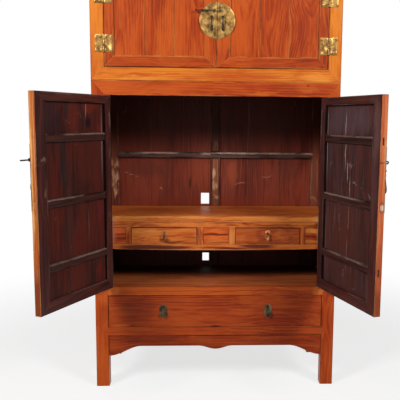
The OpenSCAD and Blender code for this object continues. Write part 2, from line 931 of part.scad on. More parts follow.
// draw is how far the pin is drawn back from where it locks the doors
module lock_pin_form(z, draw) {
    y = plate_y - ear_out;
    tip_l = 9;
    rod_x(-lock_head - draw, lock_tip - tip_l - draw, y, z, lock_r);
    rod_x(lock_tip - tip_l - draw, lock_tip - draw, y, z, lock_r + lock_flare);
    rod_x(-lock_head - lock_head_l - draw, -lock_head - draw, y, z, lock_head_r);
}

// What holds a pull: stem, two cheeks and the pivot pin; the face is at y = 0, the pivot at z = 0
module pull_post_form() {
    eye_half = eye_w / 2 + eye_room;
    cheek_out = eye_half + cheek_t;
    base_y = -pull_out + eye_r + eye_room;
    span(-cheek_out, cheek_out, base_y, 0, -eye_r, eye_r);
    both_sides() {
        rod_x(eye_half, cheek_out, -pull_out, 0, eye_r);
        span(eye_half, cheek_out, -pull_out, base_y + 1, -eye_r, eye_r);
    }
    rod_x(-cheek_out, cheek_out, -pull_out, 0, pivot_r);
}

// Baluster drop that hangs on the pivot, for the doors
module baluster_form(l, r) {
    neck = eye_w / 2 - 0.2;
    bore = pivot_r + pin_fit;
    translate([0, -pull_out, 0]) difference() {
        union() {
            rod_x(-eye_w / 2, eye_w / 2, 0, 0, eye_r);
            rotate_extrude() polygon([
                [0, -bore - 0.5], [neck, -bore - 0.5], [neck, -0.12 * l], [0.5 * r, -0.2 * l],
                [0.32 * r, -0.28 * l], [0.55 * r, -0.5 * l], [0.9 * r, -0.7 * l], [r, -0.8 * l],
                [0.9 * r, -0.9 * l], [0.5 * r, -0.97 * l], [0, -l]
            ]);
        }
        rod_x(-eye_w, eye_w, 0, 0, bore);
    }
}

// Flat vase-shaped drop for the drawers
module drop_form(l, w) {
    bore = pivot_r + pin_fit;
    steps = 14;
    belly = [for (i = [0:steps]) let (t = i / steps)
        [w / 2 * pow(sin(180 * pow(t, 1.25)), 0.75) * (0.55 + 0.45 * t) + 1.6 * (1 - t), -eye_r + 0.6 - t * (l - eye_r)]];
    mirrored = [for (i = [steps:-1:0]) [-belly[i][0], belly[i][1]]];
    translate([0, -pull_out, 0]) difference() {
        union() {
            rod_x(-eye_w / 2, eye_w / 2, 0, 0, eye_r);
            upright(-drop_t / 2, drop_t) polygon(concat(belly, mirrored));
        }
        rod_x(-eye_w, eye_w, 0, 0, bore);
    }
}

// Thin plate behind a drawer's pull, round at both ends, with its upper centre at z
module long_rosette(x, y, z, r, between) {
    hull() {
        disc_y(x, y, z, r, plate_t);
        disc_y(x, y, z - between, r, plate_t);
    }
}

// Turns a closed left-hand door to where it stands
module stand_left() {
    translate([axis_x, axis_y, 0]) rotate([0, 0, -left_open]) translate([-axis_x, -axis_y, 0]) children();
}

module stand_right() {
    mirror([1, 0, 0]) translate([axis_x, axis_y, 0]) rotate([0, 0, -right_open])
        translate([-axis_x, -axis_y, 0]) children();
}

module post_hinge_leaves() {
    color("goldenrod") both_sides() at_hinges(low_door) post_leaf_form();
}

module door_left_stiles() {
    color("brown") stand_left() door_stiles_form(low_door, low_battens);
}

module door_left_rails() {
    color("brown") stand_left() door_rail_pair_form(low_door);
}

module door_left_panel() {
    color("maroon") stand_left() door_panel_form(low_door, low_battens, left_joints);
}

module door_left_battens() {
    color("brown") stand_left() door_battens_form(low_battens);
}

module door_left_hinge_leaves() {
    color("goldenrod") stand_left() at_hinges(low_door) door_leaf_form();
}

module door_left_face_plate() {
    color("goldenrod") stand_left() {
        half_plate_form(plate_z, plate_r);
        ear_form(plate_z + ear_up);
        translate([-pull_x, plate_y, plate_z + pull_up]) pull_post_form();
    }
}

module door_left_pull() {
    color("darkgoldenrod") stand_left()
        translate([-pull_x, plate_y, plate_z + pull_up]) baluster_form(pull_l, pull_r);
}

module lock_pin() {
    color("darkgoldenrod") stand_left() lock_pin_form(plate_z + ear_up, 0);
}

module door_right_stiles() {
    color("brown") stand_right() door_stiles_form(low_door, low_battens);
}

module door_right_rails() {
    color("brown") stand_right() door_rail_pair_form(low_door);
}

module door_right_panel() {
    color("maroon") stand_right() door_panel_form(low_door, low_battens, right_joints);
}

module door_right_battens() {
    color("brown") stand_right() door_battens_form(low_battens);
}

module door_right_hinge_leaves() {
    color("goldenrod") stand_right() at_hinges(low_door) door_leaf_form();
}

module door_right_face_plate() {
    color("goldenrod") stand_right() {
        half_plate_form(plate_z, plate_r);
        ear_form(plate_z + ear_up);
        translate([-pull_x, plate_y, plate_z + pull_up]) pull_post_form();
    }
}

module door_right_pull() {
    color("darkgoldenrod") stand_right()
        translate([-pull_x, plate_y, plate_z + pull_up]) baluster_form(pull_l, pull_r);
}

// Wide drawer

module wide_drawer_front() {
    notch_curve = (notch_w * notch_w / 4 + notch_h * notch_h) / (2 * notch_h);
    color("chocolate") difference() {
        span(-wide_half, wide_half, wide_y, wide_y + wide_front_t, wide_z, wide_z + wide_front_h);
        disc_y(0, wide_y + wide_front_t + 1, wide_z + notch_h - notch_curve, notch_curve,
            wide_front_t + 2);
        wide_bottom_form();
    }
}

module wide_bottom_form() {
    reach = wide_box_half - wide_side_t + bottom_groove;
    y0 = wide_y + wide_front_t;
    span(-reach, reach, y0 - bottom_groove, wide_back_y - wide_side_t + bottom_groove,
        wide_z + bottom_up, wide_z + bottom_up + wide_bottom_t);
}

module wide_drawer_box() {
    y0 = wide_y + wide_front_t;
    y1 = wide_back_y;
    inner = wide_box_half - wide_side_t;
    color("burlywood") {
        difference() {
            union() {
                both_sides() span(inner, wide_box_half, y0, y1, wide_z, wide_z + wide_side_h);
                span(-inner, inner, y1 - wide_side_t, y1, wide_z, wide_z + wide_side_h);
            }
            wide_bottom_form();
        }
        wide_bottom_form();
    }
}

module wide_drawer_pull_posts() {
    color("olive") both_sides() {
        long_rosette(wide_pull_x, wide_y, wide_z + wide_pull_up - rosette_down, rosette_r, rosette_long);
        translate([wide_pull_x, wide_y - plate_t, wide_z + wide_pull_up]) pull_post_form();
    }
}

module wide_pull_form() {
    translate([-wide_pull_x, wide_y - plate_t, wide_z + wide_pull_up]) drop_form(wide_pull_l, wide_pull_w);
}

module wide_drawer_pull_left() {
    color("olive") wide_pull_form();
}

module wide_drawer_pull_right() {
    color("olive") mirror([1, 0, 0]) wide_pull_form();
}

// Small drawers

module small_bottom_form() {
    y0 = small_y + small_front_t;
    x0 = small_x0 + drawer_gap + small_side_t - bottom_groove;
    x1 = small_x1 - drawer_gap - small_side_t + bottom_groove;
    span(x0, x1, y0 - bottom_groove, small_y + small_l - small_side_t + bottom_groove,
        small_z + bottom_up, small_z + bottom_up + small_bottom_t);
}

module small_drawer_form() {
    y0 = small_y + small_front_t;
    y1 = small_y + small_l;
    x0 = small_x0 + drawer_gap;
    x1 = small_x1 - drawer_gap;
    difference() {
        union() {
            span(small_x0, small_x1, small_y, y0, small_z, small_z + small_front_h);
            span(x0, x0 + small_side_t, y0, y1, small_z, small_z + small_side_h);
            span(x1 - small_side_t, x1, y0, y1, small_z, small_z + small_side_h);
            span(x0, x1, y1 - small_side_t, y1, small_z, small_z + small_side_h);
        }
        small_bottom_form();
    }
    small_bottom_form();
}

module small_post_form() {
    long_rosette(small_mid_x, small_y, small_z + small_pull_up + small_rosette_up, small_rosette_r, small_rosette_long);
    translate([small_mid_x, small_y - plate_t, small_z + small_pull_up]) pull_post_form();
}

module small_pull_form() {
    translate([small_mid_x, small_y - plate_t, small_z + small_pull_up])
        drop_form(small_pull_l, small_pull_w);
}

module small_drawer_left() {
    color("sandybrown") mirror([1, 0, 0]) small_drawer_form();
}

module small_drawer_right() {
    color("sandybrown") small_drawer_form();
}

module small_drawer_pull_posts_left() {
    color("olive") mirror([1, 0, 0]) small_post_form();
}

module small_drawer_pull_posts_right() {
    color("olive") small_post_form();
}

module small_drawer_pull_left() {
    color("olive") mirror([1, 0, 0]) small_pull_form();
}

module small_drawer_pull_right() {
    color("olive") small_pull_form();
}

// Upper chest

module chest_front_rails_form() {
    mitred_rail_form(chest_z, chest_rail_h, -1);
    mitred_rail_form(chest_z + chest_h - chest_rail_h, chest_rail_h, 1);
}

module chest_side_rails_form() {
    side_rail_form(chest_z, chest_rail_h);
    side_rail_form(chest_z + chest_h - chest_rail_h, chest_rail_h);
}

module chest_back_rails_form() {
    back_rail_form(chest_z, chest_rail_h);
    back_rail_form(chest_z + chest_h - chest_rail_h, chest_rail_h);
}

module chest_boards_form() {
    frame_board_form(chest_open_z - floor_t, chest_open_z, groove_d);
    frame_board_form(chest_z + chest_h - top_set - top_t, chest_z + chest_h - top_set, groove_d);
}

module chest_posts() {
    color("orange") both_sides() difference() {
        union() {
            span(-half_w, -open_half, front, in_front, chest_z, chest_z + chest_h);
            span(-half_w, -open_half, in_back, back, chest_z, chest_z + chest_h);
        }
        chest_front_rails_form();
        chest_back_rails_form();
        back_slab_form(chest_open_z, chest_open_top);
        mirror([1, 0, 0]) chest_side_rails_form();
        mirror([1, 0, 0]) side_panel_form(chest_open_z, chest_open_top);
        hinge_room_form(chest_door);
    }
}

module chest_rails() {
    color("orange") difference() {
        union() {
            chest_front_rails_form();
            both_sides() chest_side_rails_form();
            chest_back_rails_form();
        }
        both_sides() side_panel_form(chest_open_z, chest_open_top);
        back_slab_form(chest_open_z, chest_open_top);
        chest_boards_form();
    }
}

module chest_side_panels() {
    color("peru") both_sides() side_panel_form(chest_open_z, chest_open_top);
}

module chest_back_boards() {
    color("saddlebrown") difference() {
        back_boards_form(chest_open_z, chest_open_top);
        chest_boards_form();
    }
}

module chest_top_and_floor() {
    color("peru") chest_boards_form();
}

module chest_hinge_leaves() {
    color("goldenrod") both_sides() at_hinges(chest_door) post_leaf_form();
}

module chest_door_form(joints) {
    door_stiles_form(chest_door, chest_battens);
    door_rail_pair_form(chest_door);
    door_panel_form(chest_door, chest_battens, joints);
    door_battens_form(chest_battens);
}

module chest_metal_form() {
    at_hinges(chest_door) door_leaf_form();
    half_plate_form(chest_mid_z, chest_plate_r);
}

module chest_post_form() {
    translate([-pull_x, plate_y, chest_mid_z + chest_pull_up]) pull_post_form();
}

module chest_pull_form() {
    translate([-pull_x, plate_y, chest_mid_z + chest_pull_up]) baluster_form(chest_pull_l, chest_pull_r);
}

module chest_door_left() {
    color("peru") chest_door_form(left_joints);
}

module chest_door_right() {
    color("peru") mirror([1, 0, 0]) chest_door_form(right_joints);
}

module chest_door_left_metal() {
    color("goldenrod") chest_metal_form();
}

module chest_door_right_metal() {
    color("goldenrod") mirror([1, 0, 0]) chest_metal_form();
}

module chest_ear_left() {
    color("goldenrod") ear_form(chest_mid_z + chest_ear_up);
}

module chest_ear_right() {
    color("goldenrod") mirror([1, 0, 0]) ear_form(chest_mid_z + chest_ear_up);
}

module chest_pull_post_left() {
    color("goldenrod") chest_post_form();
}

module chest_pull_post_right() {
    color("goldenrod") mirror([1, 0, 0]) chest_post_form();
}

module chest_pull_left() {
    color("darkgoldenrod") chest_pull_form();
}

module chest_pull_right() {
    color("darkgoldenrod") mirror([1, 0, 0]) chest_pull_form();
}

module chest_lock_pin() {
    color("darkgoldenrod") lock_pin_form(chest_mid_z + chest_ear_up, lock_tip + chest_pin_in);
}

post_front_left();
post_front_right();
posts_back();
top_rail_front();
drawer_rails_front();
side_rails();
back_rails();
side_panels();
back_boards();
back_battens();
top_board();
floor_board();
drawer_runners();
apron_front();
side_aprons();
shelf_board();
shelf_frame();
shelf_fill_panels();
shelf_partitions();
post_hinge_leaves();
door_left_stiles();
door_left_rails();
door_left_panel();
door_left_battens();
door_left_hinge_leaves();
door_left_face_plate();
door_left_pull();
lock_pin();
door_right_stiles();
door_right_rails();
door_right_panel();
door_right_battens();
door_right_hinge_leaves();
door_right_face_plate();
door_right_pull();
wide_drawer_front();
wide_drawer_box();
wide_drawer_pull_posts();
wide_drawer_pull_left();
wide_drawer_pull_right();
small_drawer_left();
small_drawer_right();
small_drawer_pull_posts_left();
small_drawer_pull_posts_right();
small_drawer_pull_left();
small_drawer_pull_right();
chest_posts();
chest_rails();
chest_side_panels();
chest_back_boards();
chest_top_and_floor();
chest_hinge_leaves();
chest_door_left();
chest_door_right();
chest_door_left_metal();
chest_door_right_metal();
chest_ear_left();
chest_ear_right();
chest_pull_post_left();
chest_pull_post_right();
chest_pull_left();
chest_pull_right();
chest_lock_pin();
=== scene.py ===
# Two-part lacquered cabinet with round brass plates, shelf drawers and a hat chest
import math
import random

import bmesh
import bpy
from mathutils import Matrix, Vector


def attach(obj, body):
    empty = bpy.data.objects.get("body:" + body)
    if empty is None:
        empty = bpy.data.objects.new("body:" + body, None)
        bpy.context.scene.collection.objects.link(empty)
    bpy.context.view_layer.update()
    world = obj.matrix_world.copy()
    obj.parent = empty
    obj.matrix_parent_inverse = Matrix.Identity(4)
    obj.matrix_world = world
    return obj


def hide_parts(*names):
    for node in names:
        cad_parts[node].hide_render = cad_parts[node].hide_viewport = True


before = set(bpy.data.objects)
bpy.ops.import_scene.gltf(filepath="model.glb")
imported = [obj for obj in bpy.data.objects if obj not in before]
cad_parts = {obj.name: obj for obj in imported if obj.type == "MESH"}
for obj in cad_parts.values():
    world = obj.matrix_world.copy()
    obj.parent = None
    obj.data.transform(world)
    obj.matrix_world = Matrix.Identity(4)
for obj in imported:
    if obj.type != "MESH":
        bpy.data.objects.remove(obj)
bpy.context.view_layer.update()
print("frame loaded:", len(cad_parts), "nodes")

sides = {"left": -1, "right": 1}
alongX, alongY, alongZ = range(3)  # the axes a board's grain can follow

# where the lower doors' hinges are, in metres, and how far each door stands open, in degrees
doors = {"hinge": (0.491, -0.2345), "left": -115.5, "right": 107.4}


def standing(name):
    # takes a closed door's point to where the door stands
    x, y = doors["hinge"]
    hinge = Vector((sides[name] * x, y, 0))
    turn = Matrix.Rotation(math.radians(doors[name]), 4, "Z")
    return Matrix.Translation(hinge) @ turn @ Matrix.Translation(-hinge)


def tone(*screen):
    # a colour as it is read off a screen, made linear
    linear = [((v / 255 + 0.055) / 1.055) ** 2.4 if v > 10 else v / 255 / 12.92 for v in screen]
    return (*linear, 1.0)


# shader building

def put(tree, kind, inputs=(), **props):
    # a node, with inputs given in order or by name
    made = tree.nodes.new(kind)
    for key, value in props.items():
        setattr(made, key, value)
    for key, value in inputs.items() if isinstance(inputs, dict) else enumerate(inputs):
        if isinstance(value, bpy.types.NodeSocket):
            tree.links.new(value, made.inputs[key])
        else:
            made.inputs[key].default_value = value
    return made


def calc(tree, operation, *values):
    return put(tree, "ShaderNodeMath", values, operation=operation).outputs[0]


def plus(tree, first, second):
    return calc(tree, "ADD", first, second)


def minus(tree, first, second):
    return calc(tree, "SUBTRACT", first, second)


def times(tree, first, second):
    return calc(tree, "MULTIPLY", first, second)


def vectorCalc(tree, operation, *values):
    made = put(tree, "ShaderNodeVectorMath", values, operation=operation)
    return made.outputs["Value" if operation == "LENGTH" else "Vector"]


def join(tree, *values):
    return put(tree, "ShaderNodeCombineXYZ", values).outputs[0]


def split(tree, vector):
    return put(tree, "ShaderNodeSeparateXYZ", (vector,)).outputs


def attribute(tree, name, output="Vector"):
    return put(tree, "ShaderNodeAttribute", attribute_name=name).outputs[output]


def noise(tree, vector, scale, detail=2.0, roughness=0.5, distortion=0.0, output="Fac"):
    sockets = {"Vector": vector, "Scale": scale, "Detail": detail, "Roughness": roughness, "Distortion": distortion}
    return put(tree, "ShaderNodeTexNoise", sockets).outputs[output]


def spread(tree, value, low, high, toLow=0.0, toHigh=1.0):
    sockets = {"Value": value, "From Min": low, "From Max": high, "To Min": toLow, "To Max": toHigh}
    return put(tree, "ShaderNodeMapRange", sockets, interpolation_type="SMOOTHSTEP").outputs["Result"]


def blendColour(tree, factor, first, second):
    # a colour of three numbers is one read off a screen, and one of four is linear already
    first, second = (tone(*c) if isinstance(c, tuple) and len(c) == 3 else c for c in (first, second))
    return put(tree, "ShaderNodeMix", {0: factor, 6: first, 7: second}, data_type="RGBA").outputs[2]


def emptyTree(owner):
    owner.use_nodes = True
    owner.node_tree.nodes.clear()
    return owner.node_tree


def newMaterial(name):
    material = bpy.data.materials.new(name)
    tree = emptyTree(material)
    shader = put(tree, "ShaderNodeBsdfPrincipled")
    put(tree, "ShaderNodeOutputMaterial", {"Surface": shader.outputs[0]})
    return material, tree, shader


def feed(tree, shader, colour, rough, relief, strength, distance):
    # gives a surface its colour, its roughness and its relief
    tree.links.new(colour, shader.inputs["Base Color"])
    tree.links.new(rough, shader.inputs["Roughness"])
    bump = put(tree, "ShaderNodeBump", {"Strength": strength, "Distance": distance, "Height": relief})
    tree.links.new(bump.outputs[0], shader.inputs["Normal"])


# wood finishes: four tones from pale to vein, the darker colour along the joints and edges (rim: dirt gathered
# there, and on the battens and the upright partly painted shade), what shows where the finish has rubbed off
# (wear, on the battens' upper edges partly a painted highlight), how strong each of these is, and ring spacing
# and edge widths in metres. The two shade settings of some finishes paint shade towards the top of the cupboard
# and under the shelf, and some marks are painted shadows, highlights, sheen or light through a crack.
# face is the axis and the place of the plane that a finish's marks lie on. A mark has its place and its
# half sizes, without those across the face, its colour, its strength in percent and how ragged it is.
# The face and the marks are in millimetres
woodFinishes = {
    "goldLacquer": {
        "tones": ((216, 122, 40), (194, 94, 26), (168, 68, 18), (118, 42, 12)), "rim": (92, 36, 12),
        "wear": (232, 156, 78), "mottle": ((228, 138, 46), (166, 52, 18)), "streakMark": 0.55, "sway": 0.05,
        "grime": 0.7, "mottleMark": 0.5, "marks": (
         (-300, 1428, 200, 6, (176, 58, 18), 50, 50), (80, 1428, 200, 22, (180, 70, 24), 45, 80),
         (440, 1420, 90, 20, (232, 150, 60), 50, 80), (-360, 1410, 130, 8, (236, 158, 62), 40, 60)),
    },
    "orangeLacquer": {
        "tones": ((188, 80, 27), (158, 57, 17), (128, 38, 11), (76, 21, 7)), "rim": (60, 22, 10),
        "wear": (226, 140, 68), "mottle": ((204, 98, 34), (128, 34, 12)), "streakMark": 0.5, "sway": 0.06,
        "grime": 0.8, "rimMark": 0.45, "rimWidth": 0.0025, "wearMark": 0.45, "wearWidth": 0.003, "mottleMark": 0.45,
        "marks": (
         (180, 1383, 110, 22, (158, 42, 16), 55, 100), (200, 1350, 80, 12, (214, 104, 34), 50, 100),
         (400, 1370, 60, 20, (206, 100, 36), 40, 100), (-200, 1365, 100, 20, (196, 88, 34), 35, 100),
         (405, 1386, 9, 6, (112, 30, 14), 70, 10), (-512, 440, 35, 60, (204, 98, 38), 45, 60),
         (-520, 330, 30, 70, (140, 50, 20), 40, 80), (530, 300, 20, 100, (140, 44, 18), 40, 80)),
    },
    "emberLacquer": {
        "tones": ((186, 84, 29), (154, 58, 18), (118, 38, 11), (66, 20, 7)), "rim": (42, 14, 8),
        "wear": (206, 110, 50), "mottle": ((206, 104, 36), (136, 40, 14)), "sway": 0.06, "grime": 0.7,
        "rimWidth": 0.002, "marks": (
         (0, 452, 400, 3, (96, 30, 12), 50, 20), (-450, 270, 40, 20, (214, 116, 44), 50, 60),
         (470, 450, 30, 20, (220, 120, 50), 50, 60), (-470, 450, 30, 20, (216, 118, 50), 50, 60)),
    },
    "redLacquer": {
        "tones": ((170, 69, 25), (140, 47, 15), (108, 32, 10), (60, 17, 6)), "rim": (42, 14, 8),
        "wear": (196, 102, 46), "mottle": ((186, 88, 32), (128, 36, 13)), "streakMark": 0.55, "sway": 0.07,
        "grime": 0.7, "rimWidth": 0.002, "marks": (
         (0, 284.5, 28, 4.5, (64, 20, 8), 85, 8), (-385, 289, 20, 4, (70, 22, 9), 70, 8),
         (390, 286, 24, 4, (70, 22, 9), 70, 8), (140, 292, 60, 6, (176, 84, 34), 50, 20),
         # the second mark on the next line is a painted shadow: the soft dark patch that the open left door casts on
         # the wide drawer
         (-440, 290, 50, 10, (190, 96, 42), 50, 30), (-350, 370, 90, 80, (84, 22, 10), 42, 80),
         (-300, 222, 200, 16, (96, 28, 10), 50, 80), (280, 214, 100, 10, (110, 34, 12), 40, 80)),
    },
    "honeyVarnish": {
        "tones": ((215, 116, 50), (181, 80, 29), (133, 45, 15), (65, 20, 8)), "rim": (86, 24, 9),
        "wear": (232, 152, 82), "mottle": ((222, 134, 60), (132, 42, 14)), "ringMark": 0.4, "streakMark": 0.8,
        "sway": 0.08, "lineMark": 1.1, "rimMark": 0.3, "rimWidth": 0.002, "wearMark": 0.45, "face": (1, -183),
        "marks": (
         (-389.5, 700, 3, 45, (66, 20, 9), 70, 2), (-88.5, 700, 3, 45, (66, 20, 9), 70, 2),
         (-200, 671.5, 70, 6, (84, 30, 12), 80, 30), (-235, 680, 30, 8, (96, 36, 14), 60, 40),
         (-330, 647.5, 150, 16, (80, 24, 13), 92, 12), (-200, 645, 110, 9, (84, 26, 14), 85, 12),
         (190, 653, 100, 13, (80, 26, 16), 92, 12), (80, 642, 80, 5, (84, 26, 14), 80, 12),
         (0, 654, 100, 4, (196, 96, 50), 40, 20), (10, 644.5, 110, 6.5, (108, 32, 13), 80, 12),
         (400, 650, 80, 8, (204, 100, 46), 45, 30), (0, 634.5, 500, 3.5, (206, 130, 90), 45, 10),
         (0, 743, 500, 6, (208, 118, 56), 50, 20), (-150, 754.5, 240, 10, (232, 136, 64), 55, 20),
         (-73.5, 700, 16, 45, (150, 72, 44), 60, 6), (73.5, 700, 16, 45, (226, 142, 80), 50, 6),
         (-300, 725, 100, 5, (232, 150, 76), 50, 50), (-140, 705, 80, 4, (120, 46, 16), 50, 40),
         (-370, 753, 140, 5, (134, 56, 24), 45, 30), (300, 748, 160, 7, (122, 44, 20), 60, 40),
         (70, 750, 40, 6, (116, 44, 16), 55, 40), (460, 740, 60, 16, (98, 28, 16), 60, 30),
         # the two marks on the next line are painted highlights: pale bands of reflected light at both ends of the
         # shelf front
         (-490, 720, 34, 120, (236, 148, 108), 60, 10), (495, 700, 28, 120, (246, 176, 112), 60, 10)),
    },
    "russetVarnish": {
        "tones": ((186, 88, 36), (156, 60, 22), (120, 38, 13), (64, 20, 8)), "rim": (78, 20, 8),
        "wear": (210, 122, 60), "mottle": ((196, 100, 42), (112, 30, 12)), "ringMark": 0.45, "streakMark": 0.75,
        "sway": 0.14, "rimWidth": 0.002, "wearMark": 0.35, "mottleMark": 0.45, "face": (1, -183), "marks": (
         (120, 700, 30, 30, (206, 112, 50), 40, 140), (200, 690, 20, 40, (98, 30, 12), 40, 140),
         (300, 705, 25, 35, (204, 108, 48), 45, 140), (350, 690, 20, 40, (98, 30, 12), 35, 140),
         (250, 666, 120, 5, (96, 28, 11), 50, 30)),
    },
    "fillVarnish": {
        "tones": ((214, 105, 43), (176, 69, 24), (125, 40, 13), (63, 19, 7)), "rim": (78, 20, 8),
        "wear": (210, 122, 60), "mottle": ((206, 112, 46), (120, 34, 12)), "ringMark": 0.45, "streakMark": 0.75,
        "sway": 0.08, "rimWidth": 0.002, "wearMark": 0.35, "mottleMark": 0.35, "face": (1, -180), "marks": (
         (0, 707, 100, 6.5, (96, 24, 10), 85, 20), (0, 676, 70, 12, (206, 118, 52), 50, 40),
         (-465, 690, 50, 6, (100, 30, 12), 70, 30), (-450, 724, 60, 14, (222, 104, 52), 75, 40),
         (440, 725, 60, 14, (236, 150, 66), 70, 30), (440, 696, 60, 6, (112, 34, 12), 85, 20),
         # the second mark on the next line and the last mark are painted highlights at both ends of the shelf front
         (440, 675, 60, 8, (226, 134, 62), 60, 30), (-490, 720, 34, 120, (236, 148, 108), 60, 10),
         (495, 700, 28, 120, (246, 176, 112), 60, 10)),
    },
    "shelfVarnish": {
        "tones": ((226, 129, 54), (196, 94, 34), (153, 60, 18), (94, 33, 11)), "rim": (56, 22, 10),
        "wear": (238, 158, 86), "mottle": ((226, 142, 66), (140, 52, 20)), "rings": 0.012, "streakMark": 0.65,
        "sway": 0.06, "grime": 0.8, "wearMark": 0.5, "wearWidth": 0.004, "mottleMark": 0.35, "rough": 0.44,
        "gloss": 0.18, "face": (), "marks": (
         (0, 0, 792, 600, 200, 20, (122, 38, 20), 55, 100), (0, 186, 792, 550, 12, 20, (214, 140, 84), 55, 10),
         # the first mark on the next line is a painted sheen line on the shelf top
         (330, -80, 792, 60, 12, 20, (220, 150, 104), 40, 30), (-200, -182.5, 778, 300, 20, 6, (150, 70, 28), 40, 40),
         (300, -182.5, 784, 220, 20, 5, (232, 146, 74), 40, 40),
         # the next two marks are painted highlights at both ends of the shelf board's front edge
         (-490, -182.5, 784, 40, 30, 50, (236, 160, 120), 70, 10),
         (495, -182.5, 784, 36, 30, 50, (250, 190, 130), 70, 10),
         (0, -182.5, 784, 450, 20, 3.5, (222, 130, 64), 40, 20),
         (-50, -182.5, 770, 400, 20, 3, (120, 46, 16), 50, 30)),
    },
    "floorVarnish": {
        "tones": ((182, 100, 52), (154, 76, 40), (118, 52, 27), (72, 29, 15)), "rim": (56, 22, 10),
        "wear": (206, 124, 62), "rings": 0.012, "sway": 0.06, "grime": 0.8, "wearMark": 0.4, "wearWidth": 0.004,
        "rough": 0.6, "gloss": 0.12, "face": (), "marks": (
         # painted shadow: the floor board is made near black behind its front, where the shelf shades it
         (0, 170, 473, 1200, 220, 100, (14, 6, 5), 90, 10),),
    },
    "goldEdge": {
        "tones": ((196, 116, 53), (176, 92, 39), (147, 66, 27), (102, 43, 17)), "rim": (150, 84, 40),
        "wear": (230, 170, 100), "wearMark": 0.4, "rough": 0.5, "gloss": 0.12, "face": (0, -1), "marks": (
         # the first mark on the next line is a painted highlight along the outer corner of the left door's free edge
         (-234.5, 1000, 14, 400, (246, 188, 116), 75, 20), (-212, 750, 12, 350, (176, 84, 36), 50, 50),
         (-220, 600, 20, 4, (110, 54, 26), 50, 20), (-232.5, 1068, 4, 80, (70, 44, 26), 70, 3),
         (-232.5, 925, 5.5, 58, (44, 28, 18), 95, 3), (-210, 520, 50, 140, (112, 46, 24), 80, 50),
         (-205, 1000, 9, 700, (146, 66, 40), 70, 20), (-212, 1100, 3, 250, (230, 160, 110), 50, 10)),
    },
    "amberEdge": {
        "tones": ((214, 120, 72), (185, 90, 51), (150, 63, 36), (102, 41, 23)), "rim": (96, 44, 22),
        "wear": (230, 170, 112), "grime": 0.7, "wearMark": 0.4, "rough": 0.5, "gloss": 0.12, "face": (0, 1), "marks": (
         (-221, 905, 15, 26, (130, 58, 30), 70, 20), (-221.5, 904, 9, 14.5, (238, 200, 180), 95, 10),
         (-215, 1077, 30, 4, (110, 52, 30), 75, 4), (-207, 1077, 6, 12, (70, 40, 40), 70, 20),
         (-234.5, 1100, 10, 300, (226, 160, 104), 50, 30), (-215, 600, 30, 160, (146, 60, 28), 50, 50),
         (-215, 500, 50, 90, (112, 42, 20), 60, 30)),
    },
    "innerLacquer": {
        "tones": ((88, 44, 38), (62, 30, 28), (42, 20, 21), (22, 11, 13)), "rim": (12, 6, 7), "wear": (128, 100, 88),
        "mottle": ((92, 38, 26), (42, 26, 26)), "scratch": (150, 118, 104), "streakMark": 0.75, "grime": 1.1,
        "rimMark": 0.6, "rimWidth": 0.005, "wearMark": 0.55, "wearWidth": 0.003, "mottleMark": 0.5, "rough": 0.46,
        "gloss": 0.22, "face": (1, -204), "marks": (
         (-478, 1240, 8, 50, (150, 130, 120), 60, 100), (-480, 1100, 6, 50, (140, 120, 110), 50, 100),
         (-45, 1080, 20, 8, (150, 120, 104), 50, 80), (-50, 950, 10, 16, (140, 104, 88), 50, 80),
         (480, 1200, 6, 100, (132, 118, 116), 50, 80), (50, 1100, 50, 300, (92, 66, 66), 45, 100),
         (-250, 1332, 240, 4, (156, 134, 126), 65, 15), (250, 1332, 240, 3, (140, 120, 116), 50, 15),
         (25, 1200, 30, 140, (108, 78, 76), 50, 100)),
    },
    # painted shade: the near-black inner side edges and undersides of the door frames, where the sunk panels meet them
    "doorShade": {
        "tones": ((40, 22, 20), (26, 14, 13), (16, 8, 8), (8, 4, 5)), "rim": (6, 3, 4), "wear": (110, 92, 86),
        "grime": 1, "rimMark": 0.6, "rimWidth": 0.004, "wearMark": 0.5, "wearWidth": 0.003, "rough": 0.6,
        "gloss": 0.12,
    },
    "doorBatten": {
        "tones": ((76, 40, 34), (54, 28, 25), (36, 19, 18), (18, 10, 11)), "rim": (12, 6, 7), "wear": (134, 112, 102),
        "mottle": ((86, 38, 28), (36, 24, 24)), "scratch": (150, 124, 110), "streakMark": 0.7, "grime": 1,
        # its dark rim is partly painted shade under the batten, and its pale upper edge partly a painted highlight
        "wearFrom": 0.36, "rimMark": 0.7, "rimWidth": 0.006, "wearMark": 0.8, "wearWidth": 0.006, "wearAndHighlightUp": 1,
        "mottleMark": 0.5, "scratchMark": 0.3, "rough": 0.46, "gloss": 0.22,
    },
    "leftPanel": {
        "tones": ((82, 35, 28), (59, 26, 22), (42, 19, 17), (25, 13, 13)), "rim": (14, 7, 8), "wear": (120, 92, 80),
        "mottle": ((96, 34, 28), (42, 34, 33)), "scratch": (138, 100, 84), "streakMark": 0.7, "sway": 0.02,
        "grime": 1.2, "lineMark": 1.4, "rimMark": 0.25, "wearMark": 0.1, "mottleMark": 0.5, "rough": 0.48,
        "gloss": 0.2, "face": (1, -217), "marks": (
         (-135, 1240, 60, 85, (44, 32, 38), 50, 160), (-235, 1240, 50, 90, (116, 36, 24), 40, 160),
         (-180, 1020, 35, 90, (42, 36, 38), 45, 200), (-100, 1260, 30, 50, (60, 26, 30), 40, 100),
         (-360, 1290, 60, 30, (126, 46, 30), 45, 100), (-420, 1190, 30, 30, (122, 44, 30), 40, 100),
         (-127, 990, 30, 120, (98, 36, 26), 40, 160), (-310, 1050, 60, 110, (92, 34, 28), 35, 200),
         (-220, 770, 30, 80, (46, 42, 40), 45, 200), (-143, 810, 30, 90, (108, 34, 26), 45, 160),
         (-405, 820, 25, 100, (108, 36, 40), 40, 160), (-413, 575, 25, 40, (118, 36, 30), 45, 160),
         (-329, 1265, 3, 45, (186, 140, 130), 65, 15), (-343, 1225, 18, 38, (20, 14, 26), 85, 80),
